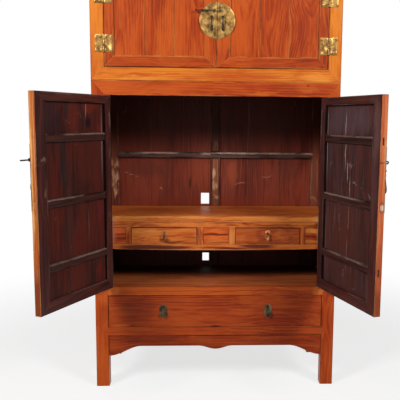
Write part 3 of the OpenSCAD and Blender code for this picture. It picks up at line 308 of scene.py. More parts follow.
         (-334, 790, 3, 80, (150, 110, 98), 40, 15), (-438.5, 1130, 4.5, 170, (150, 130, 128), 50, 10),
         (-300, 930, 80, 30, (34, 20, 20), 40, 160)),
    },
    "rightPanel": {
        # the greyer tones are partly the wood's own colour and partly a painted bluish sheen
        "tones": ((84, 49, 45), (61, 35, 33), (43, 26, 25), (24, 14, 16)), "rim": (14, 7, 8), "wear": (128, 108, 100),
        "mottle": ((92, 40, 32), (58, 52, 56)), "scratch": (156, 140, 136), "grime": 1.2, "lineMark": 1.3,
        "rimMark": 0.25, "wearMark": 0.15, "mottleMark": 0.55, "scratchMark": 0.5, "rough": 0.48, "gloss": 0.24,
        "face": (1, -217), "marks": (
         # the two marks on the next line are painted sheen: bluish-grey reflected light high on the panel
         (300, 1240, 200, 90, (96, 76, 80), 45, 200), (140, 1240, 100, 80, (104, 82, 86), 35, 200),
         (240, 740, 200, 160, (78, 38, 30), 45, 200), (240, 560, 200, 70, (66, 32, 25), 45, 200),
         (286, 1220, 3.5, 60, (176, 158, 154), 60, 30), (283, 1090, 3, 70, (176, 158, 152), 60, 30),
         (262, 1020, 4.5, 50, (184, 168, 162), 70, 40), (240, 955, 3.5, 50, (170, 152, 148), 60, 30),
         (245, 840, 3, 60, (150, 130, 120), 50, 30), (250, 680, 3, 90, (146, 124, 116), 50, 30),
         (80, 945, 20, 6, (160, 150, 156), 50, 100), (200, 975, 30, 5, (160, 146, 144), 45, 100),
         (443.5, 1130, 3.5, 170, (164, 146, 140), 60, 10), (438, 700, 3, 140, (120, 104, 98), 45, 10),
         (360, 830, 4, 50, (128, 96, 84), 40, 30)),
    },
    "backStain": {
        "tones": ((144, 66, 47), (116, 48, 34), (88, 33, 24), (54, 20, 15)), "rim": (50, 20, 14),
        "wear": (170, 120, 98), "mottle": ((146, 62, 36), (88, 40, 34)), "scratch": (150, 98, 78), "streakMark": 0.5,
        "grime": 1.1, "rimMark": 0.2, "wearMark": 0.1, "mottleMark": 0.45, "scratchMark": 0.25, "rough": 0.55,
        # painted shade: these boards are made darker towards the top of the cupboard and under the shelf
        "paintedShadeTop": (1, 1.24, 0.76), "paintedShadeLow": (0.62, 0.7, 0.75), "face": (1, 200), "marks": (
         # the first mark on the next line is painted light: a pale line standing for light that shows through the
         # crack between two back boards near the top
         (170.5, 1235, 2.6, 120, (112, 92, 84), 75, 6), (-455, 960, 12, 3, (190, 140, 116), 60, 20),
         (-430, 951, 14, 3, (196, 150, 126), 65, 20), (-403, 942, 12, 3, (190, 140, 116), 50, 20),
         (-275, 880, 12, 6, (206, 150, 110), 60, 50), (130, 905, 28, 3, (200, 150, 122), 60, 50),
         (270, 945, 30, 3, (196, 146, 120), 50, 50), (-130, 910, 8, 35, (60, 30, 26), 70, 20),
         (90, 960, 30, 80, (170, 84, 48), 45, 60), (0, 810, 550, 35, (140, 52, 24), 50, 30),
         (-370, 980, 120, 50, (90, 50, 42), 40, 60), (370, 980, 60, 70, (96, 52, 44), 40, 60)),
    },
    "postStain": {
        "tones": ((150, 84, 60), (122, 62, 45), (88, 42, 31), (52, 24, 19)), "rim": (34, 16, 12),
        "wear": (176, 138, 106), "mottle": ((150, 80, 54), (90, 52, 44)), "scratch": (160, 120, 96), "grime": 1,
        "wearMark": 0.4, "wearWidth": 0.004, "scratchMark": 0.25, "rough": 0.6, "gloss": 0.14,
        # painted shade: the posts are made darker towards the top of the cupboard and under the shelf
        "paintedShadeTop": (1.02, 1.26, 0.75), "paintedShadeLow": (0.62, 0.7, 0.75), "face": (1, 190), "marks": (
         (-508, 1000, 10, 30, (196, 150, 112), 70, 140), (-514, 930, 16, 35, (206, 162, 122), 80, 160),
         (-508, 865, 18, 40, (214, 172, 130), 85, 160), (-515, 830, 10, 20, (190, 140, 104), 60, 120),
         (497, 930, 3, 120, (176, 140, 116), 60, 20), (527, 960, 6, 80, (160, 118, 94), 50, 80),
         (512, 830, 16, 12, (170, 130, 100), 50, 100), (520, 1010, 12, 12, (168, 128, 100), 50, 120)),
    },
    "battenStain": {
        "tones": ((98, 66, 58), (66, 41, 37), (42, 25, 24), (20, 11, 11)), "rim": (16, 8, 8), "wear": (196, 168, 150),
        # its dark rim is partly painted shade under the batten, and its pale upper edge partly a painted highlight
        "mottle": ((110, 72, 58), (54, 44, 44)), "streakMark": 0.9, "grime": 1, "wearFrom": 0.4, "rimMark": 0.85,
        "rimWidth": 0.006, "wearMark": 1, "wearWidth": 0.008, "wearAndHighlightUp": 1, "rough": 0.55, "gloss": 0.18,
        "face": (1, 188), "marks": (
         (35, 1066, 110, 6, (206, 180, 158), 80, 50), (-50, 1056, 30, 8, (196, 168, 146), 60, 80),
         (-400, 1060, 50, 5, (170, 142, 124), 50, 50)),
    },
    "uprightStain": {
        "tones": ((156, 94, 66), (126, 70, 48), (92, 48, 34), (56, 27, 20)), "rim": (22, 10, 8),
        # its dark rims down both sides are partly painted shade beside the upright
        "wear": (190, 150, 120), "grime": 1, "rimMark": 0.9, "rimWidth": 0.007, "wearWidth": 0.003, "rough": 0.6,
        # painted shade: the upright is made darker towards the top of the cupboard and under the shelf
        "gloss": 0.14, "paintedShadeTop": (1.03, 1.2, 0.8), "paintedShadeLow": (0.62, 0.7, 0.75), "face": (1, 188), "marks": (
         (-2, 955, 12, 26, (214, 176, 136), 75, 100), (6, 900, 13, 30, (208, 168, 128), 70, 120),
         (8, 835, 8, 14, (204, 162, 126), 60, 80), (2, 1115, 11, 20, (110, 78, 62), 60, 100)),
    },
    "bareWood": {
        "tones": ((190, 142, 96), (164, 114, 72), (130, 84, 52), (90, 56, 36)), "rim": (72, 48, 32),
        "wear": (198, 156, 112), "mottle": ((196, 150, 104), (120, 82, 54)), "ringMark": 0.4, "rough": 0.74,
        "gloss": 0.15,
    },
    "endGrain": {
        "tones": ((84, 36, 20), (60, 26, 16), (40, 18, 12), (22, 10, 8)), "rim": (20, 9, 7), "wear": (90, 44, 28),
        "rings": 0.005, "ringMark": 0.5, "streakMark": 0.3, "rimWidth": 0.002, "wearMark": 0.2, "rough": 0.55,
        "gloss": 0.15,
    },
}
# what a finish takes where it doesn't say otherwise
plainFinish = {
    "rings": 0.008, "ringMark": 0.3, "wander": 0.05, "tintMark": 0.08, "streakMark": 0.6, "sway": 0.03, "grime": 0.6,
    "lineMark": 0.9, "wearFrom": 0.42, "rimMark": 0.5, "rimWidth": 0.003, "wearMark": 0.3, "wearWidth": 0.002,
    "wearAndHighlightUp": 0.0, "mottleMark": 0.4, "scratchMark": 0.35, "rough": 0.34, "gloss": 0.16, "face": (1, -232.5),
    "marks": (),
}
# the patterns in the wood: how much of its length along the board each keeps, its scale, detail and roughness
patterns = {
    "drift": (0.3, 3.0, 2.0, 0.45), "uneven": (0.15, 9.0), "streak": (0.045, 52.0, 5.0, 0.68),
    "fibre": (0.02, 320.0, 3.0, 0.7), "patch": (0.22, 7.0, 4.0, 0.6), "lines": (0.03, 150.0, 3.0, 0.62),
    "ragged": (0.4, 70.0, 4.0, 0.7), "mottle": (0.4, 7.5, 4.0, 0.6), "bend": (0.3, 26.0, 4.0, 0.62),
    "scratch": (0.55, 13.0, 2.0, 0.5, 0.6), "scratched": (0.8, 9.0, 3.0, 0.6), "worn": (0.35, 11.0, 4.0, 0.66),
    "planed": (0.4, 16.0, 2.0),
}
# where on its way from low to high a pattern shows, and between which strengths
shows = {
    "ringStart": (0.2, 0.85), "ringEnd": (0.88, 1.0, 1.0, 0.0), "uneven": (0.35, 0.7, 0.25, 1.0),
    "streak": (0.3, 0.72), "paleMottle": (0.5, 0.68, 0.0), "darkMottle": (0.32, 0.5), "scratched": (0.56, 0.68),
    "scratch": (0.0, 0.012), "spot": (0.45, 1.15), "upperEdge": (-0.002, 0.008, 0.12, 1.0),
}
# how much each pattern adds to the wood's tone, its edges, its roughness and its relief (in metres), and how
# deep a mark reaches on both sides of its face (in millimetres)
amounts = {
    "swayAlong": (0.6, 1.0, 1.0), "swayScale": (5.0, 1.0), "fibre": 0.4, "streak": 0.6, "patch": 1.2, "paintedShade": 0.06,
    "wearRagged": 1.6, "wearSpots": 0.2, "wearFade": 0.5, "bevelWear": 0.6, "roughPatch": 0.24, "roughLess": 0.1,
    "roughWear": 0.2, "planedRelief": 0.0014, "fibreRelief": 0.00016, "ringRelief": 0.00008,
    "bump": (0.6, 1.0), "markDepth": 50,
}
# the colours of the painted shade towards the top of the cupboard and under the shelf
paintedShadeColours = ((0.002, 0.0, 0.0, 1.0), (0.0, 0.0, 0.0, 1.0))
toneStops = (0.08, 0.4, 0.7, 0.98)


def spotMark(tree, colour, rest, bend, face, mark):
    # one soft mark, at its place on the boards at rest
    *numbers, shade, strength, ragged = mark
    half = len(numbers) // 2
    place, size = numbers[:half], numbers[half:]
    if face:
        place.insert(*face)
        size.insert(face[0], amounts["markDepth"])
    place, size = ([v / 1000 for v in row] for row in (place, size))
    bent = vectorCalc(tree, "ADD", vectorCalc(tree, "SUBTRACT", rest, place),
                      vectorCalc(tree, "MULTIPLY", bend, [ragged / 1000] * 3))
    reach = vectorCalc(tree, "LENGTH", vectorCalc(tree, "DIVIDE", bent, size))
    return blendColour(tree, spread(tree, reach, *shows["spot"], strength / 100, 0.0), colour, shade)


def woodMaterial(name, look):
    look = {**plainFinish, **look}
    material, tree, shader = newMaterial(name)
    board = attribute(tree, "grain")
    tint = attribute(tree, "tint", "Fac")
    rest = attribute(tree, "rest")
    height = split(tree, rest)[2]
    # the grain sways gently along the board
    swing = noise(tree, vectorCalc(tree, "MULTIPLY", board, amounts["swayAlong"]), *amounts["swayScale"])
    swing = times(tree, minus(tree, swing, 0.5), look["sway"])
    grain = vectorCalc(tree, "ADD", board, join(tree, 0.0, swing, swing))
    across, deep = split(tree, grain)[1:]

    def pattern(kind, output="Fac"):
        lengthwise, *settings = patterns[kind]
        return noise(tree, vectorCalc(tree, "MULTIPLY", grain, (lengthwise, 1.0, 1.0)), *settings, output=output)

    # growth rings round a pith that wanders along the board
    drift = pattern("drift")
    radius = vectorCalc(tree, "LENGTH", join(tree, 0.0, across, deep))
    radius = plus(tree, radius, times(tree, drift, look["wander"]))
    ring = calc(tree, "FRACT", calc(tree, "DIVIDE", radius, look["rings"]))
    late = times(tree, spread(tree, ring, *shows["ringStart"]), spread(tree, ring, *shows["ringEnd"]))
    uneven = spread(tree, pattern("uneven"), *shows["uneven"])
    ringMark = times(tree, times(tree, late, uneven), look["ringMark"])
    streak, fibre, patch, lines = (pattern(kind) for kind in ("streak", "fibre", "patch", "lines"))
    fine = plus(tree, times(tree, minus(tree, fibre, 0.5), amounts["fibre"]),
                times(tree, minus(tree, lines, 0.5), look["lineMark"]))
    streaks = times(tree, spread(tree, streak, *shows["streak"]), look["streakMark"] * amounts["streak"])
    level = plus(tree, plus(tree, streaks, ringMark), fine)
    level = plus(tree, level, times(tree, tint, look["tintMark"]))
    level = plus(tree, level, times(tree, minus(tree, patch, 0.5), look["grime"] * amounts["patch"]))
    colours = put(tree, "ShaderNodeValToRGB", (level,))
    colour = colours.outputs[0]
    stops = colours.color_ramp.elements
    stops[0].position, stops[1].position = toneStops[0], toneStops[3]
    stops[0].color, stops[1].color = tone(*look["tones"][0]), tone(*look["tones"][3])
    stops.new(toneStops[1]).color = tone(*look["tones"][1])
    stops.new(toneStops[2]).color = tone(*look["tones"][2])
    # darker along each board's joints and edges: dirt gathered there, and for the battens and the upright also painted
    # shade
    middle = split(tree, vectorCalc(tree, "ABSOLUTE", attribute(tree, "fromMiddle")))
    size = split(tree, attribute(tree, "halfSize"))
    toEnd, toSide, toFace = (minus(tree, size[axis], middle[axis]) for axis in range(3))
    nearest = calc(tree, "MINIMUM", calc(tree, "MAXIMUM", toEnd, toSide), calc(tree, "MAXIMUM", toEnd, toFace))
    nearest = calc(tree, "MINIMUM", nearest, calc(tree, "MAXIMUM", toSide, toFace))
    ragged = pattern("ragged")
    rimEdge = minus(tree, nearest, times(tree, ragged, look["rimWidth"]))
    rim = spread(tree, rimEdge, 0.0, look["rimWidth"], look["rimMark"], 0.0)
    if "mottle" in look:
        mottle = pattern("mottle")
        pale = spread(tree, mottle, *shows["paleMottle"], look["mottleMark"])
        colour = blendColour(tree, pale, colour, look["mottle"][0])
        dark = spread(tree, mottle, *shows["darkMottle"], look["mottleMark"], 0.0)
        colour = blendColour(tree, dark, colour, look["mottle"][1])
    # painted shade: the wood is made darker towards the top of the cupboard and under the shelf, where shade falls
    if "paintedShadeTop" in look:
        low, high, mark = look["paintedShadeTop"]
        paintedShade = spread(tree, plus(tree, height, times(tree, patch, amounts["paintedShade"])), low, high, 0.0, mark)
        colour = blendColour(tree, paintedShade, colour, paintedShadeColours[0])
        low, high, mark = look["paintedShadeLow"]
        colour = blendColour(tree, spread(tree, height, low, high, mark, 0.0), colour, paintedShadeColours[1])
    if look["marks"]:
        bend = vectorCalc(tree, "SUBTRACT", pattern("bend", "Color"), (0.5, 0.5, 0.5))
        for mark in look["marks"]:
            colour = spotMark(tree, colour, rest, bend, look["face"], mark)
    if "scratch" in look:
        # thin bits of a wandering line, where another pattern lets them show
        line = calc(tree, "ABSOLUTE", minus(tree, pattern("scratch"), 0.5))
        scratched = spread(tree, pattern("scratched"), *shows["scratched"])
        scratch = times(tree, spread(tree, line, *shows["scratch"], look["scratchMark"], 0.0), scratched)
        colour = blendColour(tree, scratch, colour, look["scratch"])
    colour = blendColour(tree, rim, colour, look["rim"])
    # what rubs off at the edges, and along the bevels; on the battens' upper edges this pale wear is partly a painted
    # highlight
    wearEdge = minus(tree, nearest, times(tree, ragged, look["wearWidth"] * amounts["wearRagged"]))
    wornSpots = spread(tree, pattern("worn"), look["wearFrom"], look["wearFrom"] + amounts["wearSpots"])
    wear = times(tree, spread(tree, wearEdge, 0.0, look["wearWidth"] * amounts["wearFade"], 1.0, 0.0), wornSpots)
    wear = times(tree, wear, look["wearMark"])
    if look["wearAndHighlightUp"]:
        upper = split(tree, attribute(tree, "fromMiddle"))[1]
        wear = times(tree, wear, spread(tree, upper, *shows["upperEdge"]))
    bevelWear = times(tree, attribute(tree, "edge", "Fac"), times(tree, wornSpots, amounts["bevelWear"]))
    wear = calc(tree, "MAXIMUM", wear, bevelWear)
    colour = blendColour(tree, wear, colour, look["wear"])
    rough = plus(tree, times(tree, patch, amounts["roughPatch"]), look["rough"] - amounts["roughLess"])
    rough = plus(tree, rough, times(tree, wear, amounts["roughWear"]))
    shader.inputs["Specular IOR Level"].default_value = look["gloss"]
    # the hand-planed surface, and the pores in it
    relief = plus(tree, times(tree, pattern("planed"), amounts["planedRelief"]),
                  times(tree, fibre, amounts["fibreRelief"]))
    relief = minus(tree, relief, times(tree, late, amounts["ringRelief"]))
    feed(tree, shader, colour, rough, relief, *amounts["bump"])
    return material


wood = {name: woodMaterial(name, look) for name, look in woodFinishes.items()}

# metal finishes: their brightest and dullest colour, and how rough the metal is
metalFinishes = {
    "agedBrass": ((178, 138, 76), (92, 64, 36), 0.4),
    "patinaBrass": ((124, 102, 70), (58, 44, 32), 0.46),
    "darkBrass": ((92, 76, 56), (44, 35, 28), 0.5),
    "ruddyBrass": ((200, 128, 78), (100, 42, 20), 0.4),
    "darkRuddyBrass": ((120, 50, 30), (60, 16, 8), 0.46),
    "ironPin": ((86, 80, 74), (40, 36, 34), 0.5),
}
metalLook = {"cloud": (38.0, 4.0, 0.62), "speck": (240.0, 3.0, 0.6), "speckShare": 0.35, "dullFrom": (0.5, 0.85),
             "roughDull": 0.22, "roughLess": 0.05, "metallic": 0.92, "relief": (0.35, 0.0006)}


def metalMaterial(name, bright, dull, rough):
    material, tree, shader = newMaterial(name)
    place = put(tree, "ShaderNodeTexCoord").outputs["Object"]
    cloud = noise(tree, place, *metalLook["cloud"])
    speck = noise(tree, place, *metalLook["speck"])
    mixed = plus(tree, cloud, times(tree, speck, metalLook["speckShare"]))
    mixed = spread(tree, mixed, *metalLook["dullFrom"])
    rough = plus(tree, times(tree, mixed, metalLook["roughDull"]), rough - metalLook["roughLess"])
    shader.inputs["Metallic"].default_value = metalLook["metallic"]
    feed(tree, shader, blendColour(tree, mixed, bright, dull), rough, plus(tree, cloud, speck), *metalLook["relief"])
    return material


metal = {name: metalMaterial(name, *look) for name, look in metalFinishes.items()}
print("materials made:", len(wood) + len(metal))


# piece building: lengths in metres, angles in degrees
building = {"weld": 0.00002, "flat": 0.7, "woodEdge": 28, "metalEdge": 40, "woodSmooth": 20, "metalSmooth": 35,
            "tintReach": 1, "grainStart": (0, 20), "pithAcross": (-0.07, 0.07), "pithDeep": (0.03, 0.1)}


def readNode(node, space=None, cutAt=None):
    # a welded copy of a CAD node, taken back to where its door is closed, cut across where its finish changes
    form = bmesh.new()
    form.from_mesh(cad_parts[node].data)
    bmesh.ops.remove_doubles(form, verts=form.verts, dist=building["weld"])
    bmesh.ops.dissolve_limit(form, angle_limit=math.radians(building["flat"]), verts=form.verts, edges=form.edges)
    if cutAt:
        geom = form.verts[:] + form.edges[:] + form.faces[:]
        bmesh.ops.bisect_plane(form, geom=geom, plane_co=(0, 0, cutAt / 1000), plane_no=(0, 0, 1))
    if space:
        bmesh.ops.transform(form, matrix=space.inverted(), verts=form.verts)
    return form


def addBoard(form, low, high):
    # a board between two corners, in millimetres
    made = bmesh.ops.create_cube(form, size=1.0)["verts"]
    bmesh.ops.scale(form, vec=[(b - a) / 1000 for a, b in zip(low, high)], verts=made)
    bmesh.ops.translate(form, vec=[(a + b) / 2000 for a, b in zip(low, high)], verts=made)
    return made


def addSided(form, side, low, high):
    # the same, given for the right side and made on the side asked for
    x0, x1 = sorted((side * low[0], side * high[0]))
    return addBoard(form, (x0, *low[1:]), (x1, *high[1:]))


def islands(form):
    # the boards of a form, each as the set of its points
    left = set(form.verts)
    while left:
        start = min(left, key=lambda v: v.index)
        found, todo = {start}, [start]
        while todo:
            for link in todo.pop().link_edges:
                for vert in link.verts:
                    if vert not in found:
                        found.add(vert)
                        todo.append(vert)
        left -= found
        yield found


def soften(form, angle, worn):
    # rounds the edges that are sharper than the angle, and returns the new faces
    sharp = [e for e in form.edges if len(e.link_faces) == 2 and e.calc_face_angle(0) > math.radians(angle)]
    return bmesh.ops.bevel(form, geom=sharp, offset=worn, offset_type="OFFSET", segments=2, profile=0.5,
                           affect="EDGES", clamp_overlap=True, material=-1)["faces"]


def markGrain(form, name, grainAxis):
    # writes on each board where its points lie in it, and draws its place in the grain and its tint
    chance = random.Random(name)
    form.verts.index_update()
    layers = {key: form.verts.layers.float_vector.new(key) for key in ("grain", "fromMiddle", "halfSize", "rest")}
    tintMark = form.verts.layers.float.new("tint")
    for part in islands(form):
        low = [min(v.co[i] for v in part) for i in range(3)]
        high = [max(v.co[i] for v in part) for i in range(3)]
        size = [b - a for a, b in zip(low, high)]
        order = sorted(range(3), key=lambda i: -size[i])
        if grainAxis is not None:
            order.remove(grainAxis)
            order.insert(0, grainAxis)
        start, across = chance.uniform(*building["grainStart"]), chance.uniform(*building["pithAcross"])
        shift = Vector((start, across, chance.choice((-1, 1)) * chance.uniform(*building["pithDeep"])))
        tint = chance.uniform(-building["tintReach"], building["tintReach"])
        half = Vector([size[i] / 2 for i in order])
        for vert in part:
            place = Vector([vert.co[i] - (low[i] + high[i]) / 2 for i in order])
            vert[layers["fromMiddle"]] = place
            vert[layers["halfSize"]] = half
            vert[layers["grain"]] = place + shift
            vert[layers["rest"]] = vert.co
            vert[tintMark] = tint


def addObject(name, data):
    made = bpy.data.objects.new(name, data)
    bpy.context.scene.collection.objects.link(made)
    return made


def placePiece(name, form, body, node, slot, materials, smoothAngle):
    mesh = bpy.data.meshes.new(name)
    for face in form.faces:
        face.smooth = True
    form.to_mesh(mesh)
    form.free()
    mesh.set_sharp_from_angle(angle=math.radians(smoothAngle))
    for material in materials:
        mesh.materials.append(material)
    piece = addObject(name, mesh)
    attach(piece, body)
    if node:
        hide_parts(node)


def woodPiece(name, form, body, node, slot, finishes, skin=None, grainAxis=None, worn=0.0012, space=None):
    # finishes are the faces' materials, and skin says which one a face takes, from its normal and middle
    edgeMark = form.faces.layers.float.new("edge")
    for face in soften(form, building["woodEdge"], worn):
        face[edgeMark] = 1.0
    markGrain(form, name, grainAxis)
    if skin:
        form.normal_update()
        for face in form.faces:
            face.material_index = int(skin(face.normal, face.calc_center_median()))
    if space:
        bmesh.ops.transform(form, matrix=space, verts=form.verts)
    placePiece(name, form, body, node, slot, [wood[f] for f in finishes.split()], building["woodSmooth"])


def dress(name, node, body, slot, finishes, skin=None, grainAxis=None, worn=0.0012, cutAt=None, space=None):
    # a wooden piece that takes the CAD node's own form
    woodPiece(name, readNode(node, space, cutAt), body, node, slot, finishes, skin, grainAxis, worn, space)


# skins: a face looks mostly one way when its normal's share of that way is above this
mostly = 0.5


def looksIn(normal, middle):
    # the face looks towards the cabinet's middle plane
    return (normal.x < -mostly) if middle.x > 0 else (normal.x > mostly)


def inside(low, high):
    # faces that look into the cupboard or the chest, between these heights in millimetres
    return lambda n, c: (looksIn(n, c) or n.y > mostly) and low < c.z * 1000 < high


def rear(normal, middle):
    return normal.y > mostly


# lower carcass: heights in millimetres
carcass = {"openLow": 456, "openTop": 1336, "stainFrom": 243, "railSplit": 400}


def backPostSkin(normal, middle):
    return (looksIn(normal, middle) or normal.y < -mostly) and middle.z * 1000 > carcass["stainFrom"]


def topRailSkin(normal, middle):
    return normal.z < -mostly or rear(normal, middle)


def drawerRailSkin(normal, middle):
    return middle.z * 1000 > carcass["railSplit"]


orange, red = "orange_lacquer", "red_lacquer"
cupboard = inside(carcass["openLow"], carcass["openTop"])
# piece, node, slot, finishes, skin, the axis of its grain, how much its edges are rounded, in metres, and the
# height at which it is cut across, in millimetres
carcassFrame = (
    ("frontPostLeft", "post_front_left", orange, "orangeLacquer innerLacquer", cupboard, alongZ, 0.0012, 455),
    ("frontPostRight", "post_front_right", orange, "orangeLacquer innerLacquer", cupboard, alongZ, 0.0012, 455),
    ("backPosts", "posts_back", orange, "orangeLacquer postStain", backPostSkin, alongZ, 0.0012, 242),
    ("topRail", "top_rail_front", orange, "orangeLacquer innerLacquer", topRailSkin, alongX),
    ("drawerRails", "drawer_rails_front", red, "redLacquer emberLacquer", drawerRailSkin, alongX),
    ("sideRails", "side_rails", orange, "orangeLacquer backStain", looksIn, alongY),
    ("backRails", "back_rails", "raw_wood", "backStain", None, alongX),
    ("sidePanels", "side_panels", orange, "orangeLacquer backStain", looksIn, alongZ, 0.0006),
)
for name, node, *look in carcassFrame:
    dress(name, node, "carcass", *look)

# back boards: tongues close the joints between them, and cut is where the cable holes' walls are
back = {"joints": (-328, -164, 0, 164, 328), "half": 5, "front": 198.6, "rear": 206.5, "short": 2,
        "cutX": (-80, -20), "cutZ": (480, 880), "cutRear": 209.9}
backForm = readNode("back_boards")
low, high = (pick(v.co.z for v in backForm.verts) * 1000 for pick in (min, max))
for x in back["joints"]:
    addBoard(backForm, (x - back["half"], back["front"], low + back["short"]),
             (x + back["half"], back["rear"], high - back["short"]))


def backSkin(normal, middle):
    # the rear is bare, and so is what was cut for the cable holes
    x, y, z = middle * 1000
    inCut = back["cutX"][0] < x < back["cutX"][1] and back["cutZ"][0] < z < back["cutZ"][1] and y < back["cutRear"]
    return rear(normal, middle) or (inCut and abs(normal.y) < mostly)


woodPiece("backBoards", backForm, "carcass", "back_boards", "back_stain", "backStain bareWood", backSkin,
          alongZ, 0.0008)
battens = {"half": 500, "front": 182.5, "rear": 197.5, "low": 1040, "high": 1067,
           "upright": {"half": 22, "front": 187.5, "low": 473, "high": 1336}}
form = bmesh.new()
addBoard(form, (-battens["half"], battens["front"], battens["low"]),
         (battens["half"], battens["rear"], battens["high"]))
woodPiece("backBattens", form, "carcass", "back_battens", "back_stain", "battenStain")
form = bmesh.new()
upright = battens["upright"]
for low, high in ((upright["low"], battens["low"]), (battens["high"], upright["high"])):
    addBoard(form, (-upright["half"], upright["front"], low), (upright["half"], battens["rear"], high))
woodPiece("backUprights", form, "carcass", None, "back_stain", "uprightStain")

carcassBoards = (
    ("topBoard", "top_board", "raw_wood", "bareWood", None, alongX),
    ("floorBoard", "floor_board", "inner_lacquer", "floorVarnish", None, alongX),
    ("drawerRunners", "drawer_runners", "raw_wood", "bareWood", None, alongY),
    ("frontApron", "apron_front", red, "redLacquer", None, alongX),
    ("sideAprons", "side_aprons", orange, "orangeLacquer", None, alongY),
)
for name, node, *look in carcassBoards:
    dress(name, node, "carcass", *look)
print("carcass dressed")

# drawer shelf, in millimetres: its lower rail bows down in the middle
dress("shelfBoard", "shelf_board", "carcass", "honey_wood", "shelfVarnish", None, alongX, 0.002)
shelf = {"half": 532, "front": -182.5, "back": -160.5, "railTop": 765, "openTop": 740, "openLow": 660, "railLow": 640,
         "bow": 7, "steps": 24, "stiles": ((59, 88), (390, 413))}
form = bmesh.new()
addBoard(form, (-shelf["half"], shelf["front"], shelf["openTop"]), (shelf["half"], shelf["back"], shelf["railTop"]))
lowRail = addBoard(form, (-shelf["half"], shelf["front"], shelf["railLow"]),
                   (shelf["half"], shelf["back"], shelf["openLow"]))
lengthwise = [e for e in {e for v in lowRail for e in v.link_edges} if e.calc_length() * 1000 > shelf["half"]]
bmesh.ops.subdivide_edges(form, edges=lengthwise, cuts=shelf["steps"], use_grid_fill=True)
for vert in form.verts:
    if vert.co.z * 1000 < shelf["railLow"] + 1:
        vert.co.z -= shelf["bow"] / 1000 * (1 - (vert.co.x * 1000 / shelf["half"]) ** 2)
for side in sides.values():
    for near, far in shelf["stiles"]:
        addSided(form, side, (near, shelf["front"], shelf["openLow"]), (far, shelf["back"], shelf["openTop"]))
woodPiece("shelfFrame", form, "carcass", "shelf_frame", "honey_wood", "honeyVarnish", worn=0.001)
dress("shelfFillPanels", "shelf_fill_panels", "carcass", "honey_wood", "fillVarnish", None, alongX, 0.0006)
dress("shelfPartitions", "shelf_partitions", "carcass", "raw_wood", "bareWood", None, alongY)
print("shelf dressed")

# lower doors, in millimetres: meeting and hinge are where a closed door's two edges are
lowerDoor = {"low": 475.5, "high": 1333.5, "meeting": 1, "hinge": 490, "near": 2.5, "middleBatten": (800, 1000)}
doorWay = {"front": -0.3, "side": 0.6, "end": 0.7}  # how far a normal turns before a face counts as such


def doorSkin(side, low, high):
    # outer face and the door's own edges are orange, the edge where the doors meet is paler, the rest is dark, and the
    # inner side edges and undersides take the painted shade
    def rule(normal, middle):
        x, z = middle.x * 1000 * side, middle.z * 1000
        if abs(x - lowerDoor["meeting"]) < lowerDoor["near"] and doorWay["front"] < normal.y < mostly:
            return 2
        atRim = min(abs(x - lowerDoor["hinge"]), abs(z - low), abs(z - high)) < lowerDoor["near"]
        if normal.y < doorWay["front"] or (atRim and normal.y < mostly):
            return 0
        return 3 if abs(normal.x) > doorWay["side"] or normal.z < -doorWay["side"] else 1
    return rule


def panelSkin(normal, middle):
    return normal.y > doorWay["front"]


def battenSkin(side):
    # only the right door shows its dark tenon ends, and not the middle one
    def rule(normal, middle):
        if normal.x * side > -doorWay["end"]:
            return 0
        low, high = lowerDoor["middleBatten"]
        return 1 if side > 0 and not low < middle.z * 1000 < high else 2
    return rule


for name, meeting in (("left", "goldEdge"), ("right", "amberEdge")):
    side, space, body, slot = sides[name], standing(name), name + "_door", "inner_lacquer"
    rule = doorSkin(side, lowerDoor["low"], lowerDoor["high"])
    finishes = "orangeLacquer innerLacquer %s doorShade" % meeting
    for part, skin, faces, grainAxis, worn in (
            ("Stiles", rule, finishes, alongZ, 0.0014), ("Rails", rule, finishes, alongX, 0.0014),
            ("Panel", panelSkin, "orangeLacquer %sPanel" % name, alongZ, 0.0005),
            ("Battens", battenSkin(side), "doorBatten endGrain " + meeting, alongX, 0.002)):
        dress(name + "Door" + part, "door_%s_%s" % (name, part.lower()), body, slot, faces, skin, grainAxis, worn,
              space=space)
print("lower doors dressed")

# wide drawer, in millimetres
dress("wideDrawerFront", "wide_drawer_front", "wide_drawer", red, "redLacquer", None, alongX, 0.0016)
wideBox = {"half": 486, "inner": 474, "front": -211.5, "back": 188.5, "low": 282.3, "top": 408, "side": 12,
           "bottomUp": 6, "bottom": 8, "boards": 3, "boardStep": 129.4, "board": 129}
w = wideBox
form = bmesh.new()
for side in sides.values():
    addSided(form, side, (w["inner"], w["front"], w["low"]), (w["half"], w["back"], w["top"]))
addBoard(form, (-w["inner"], w["back"] - w["side"], w["low"]), (w["inner"], w["back"], w["top"]))
for index in range(w["boards"]):
    y0, z0 = w["front"] + index * w["boardStep"], w["low"] + w["bottomUp"]
    addBoard(form, (-w["inner"], y0, z0), (w["inner"], y0 + w["board"], z0 + w["bottom"]))
woodPiece("wideDrawerBox", form, "wide_drawer", "wide_drawer_box", "raw_wood", "bareWood", worn=0.0008)

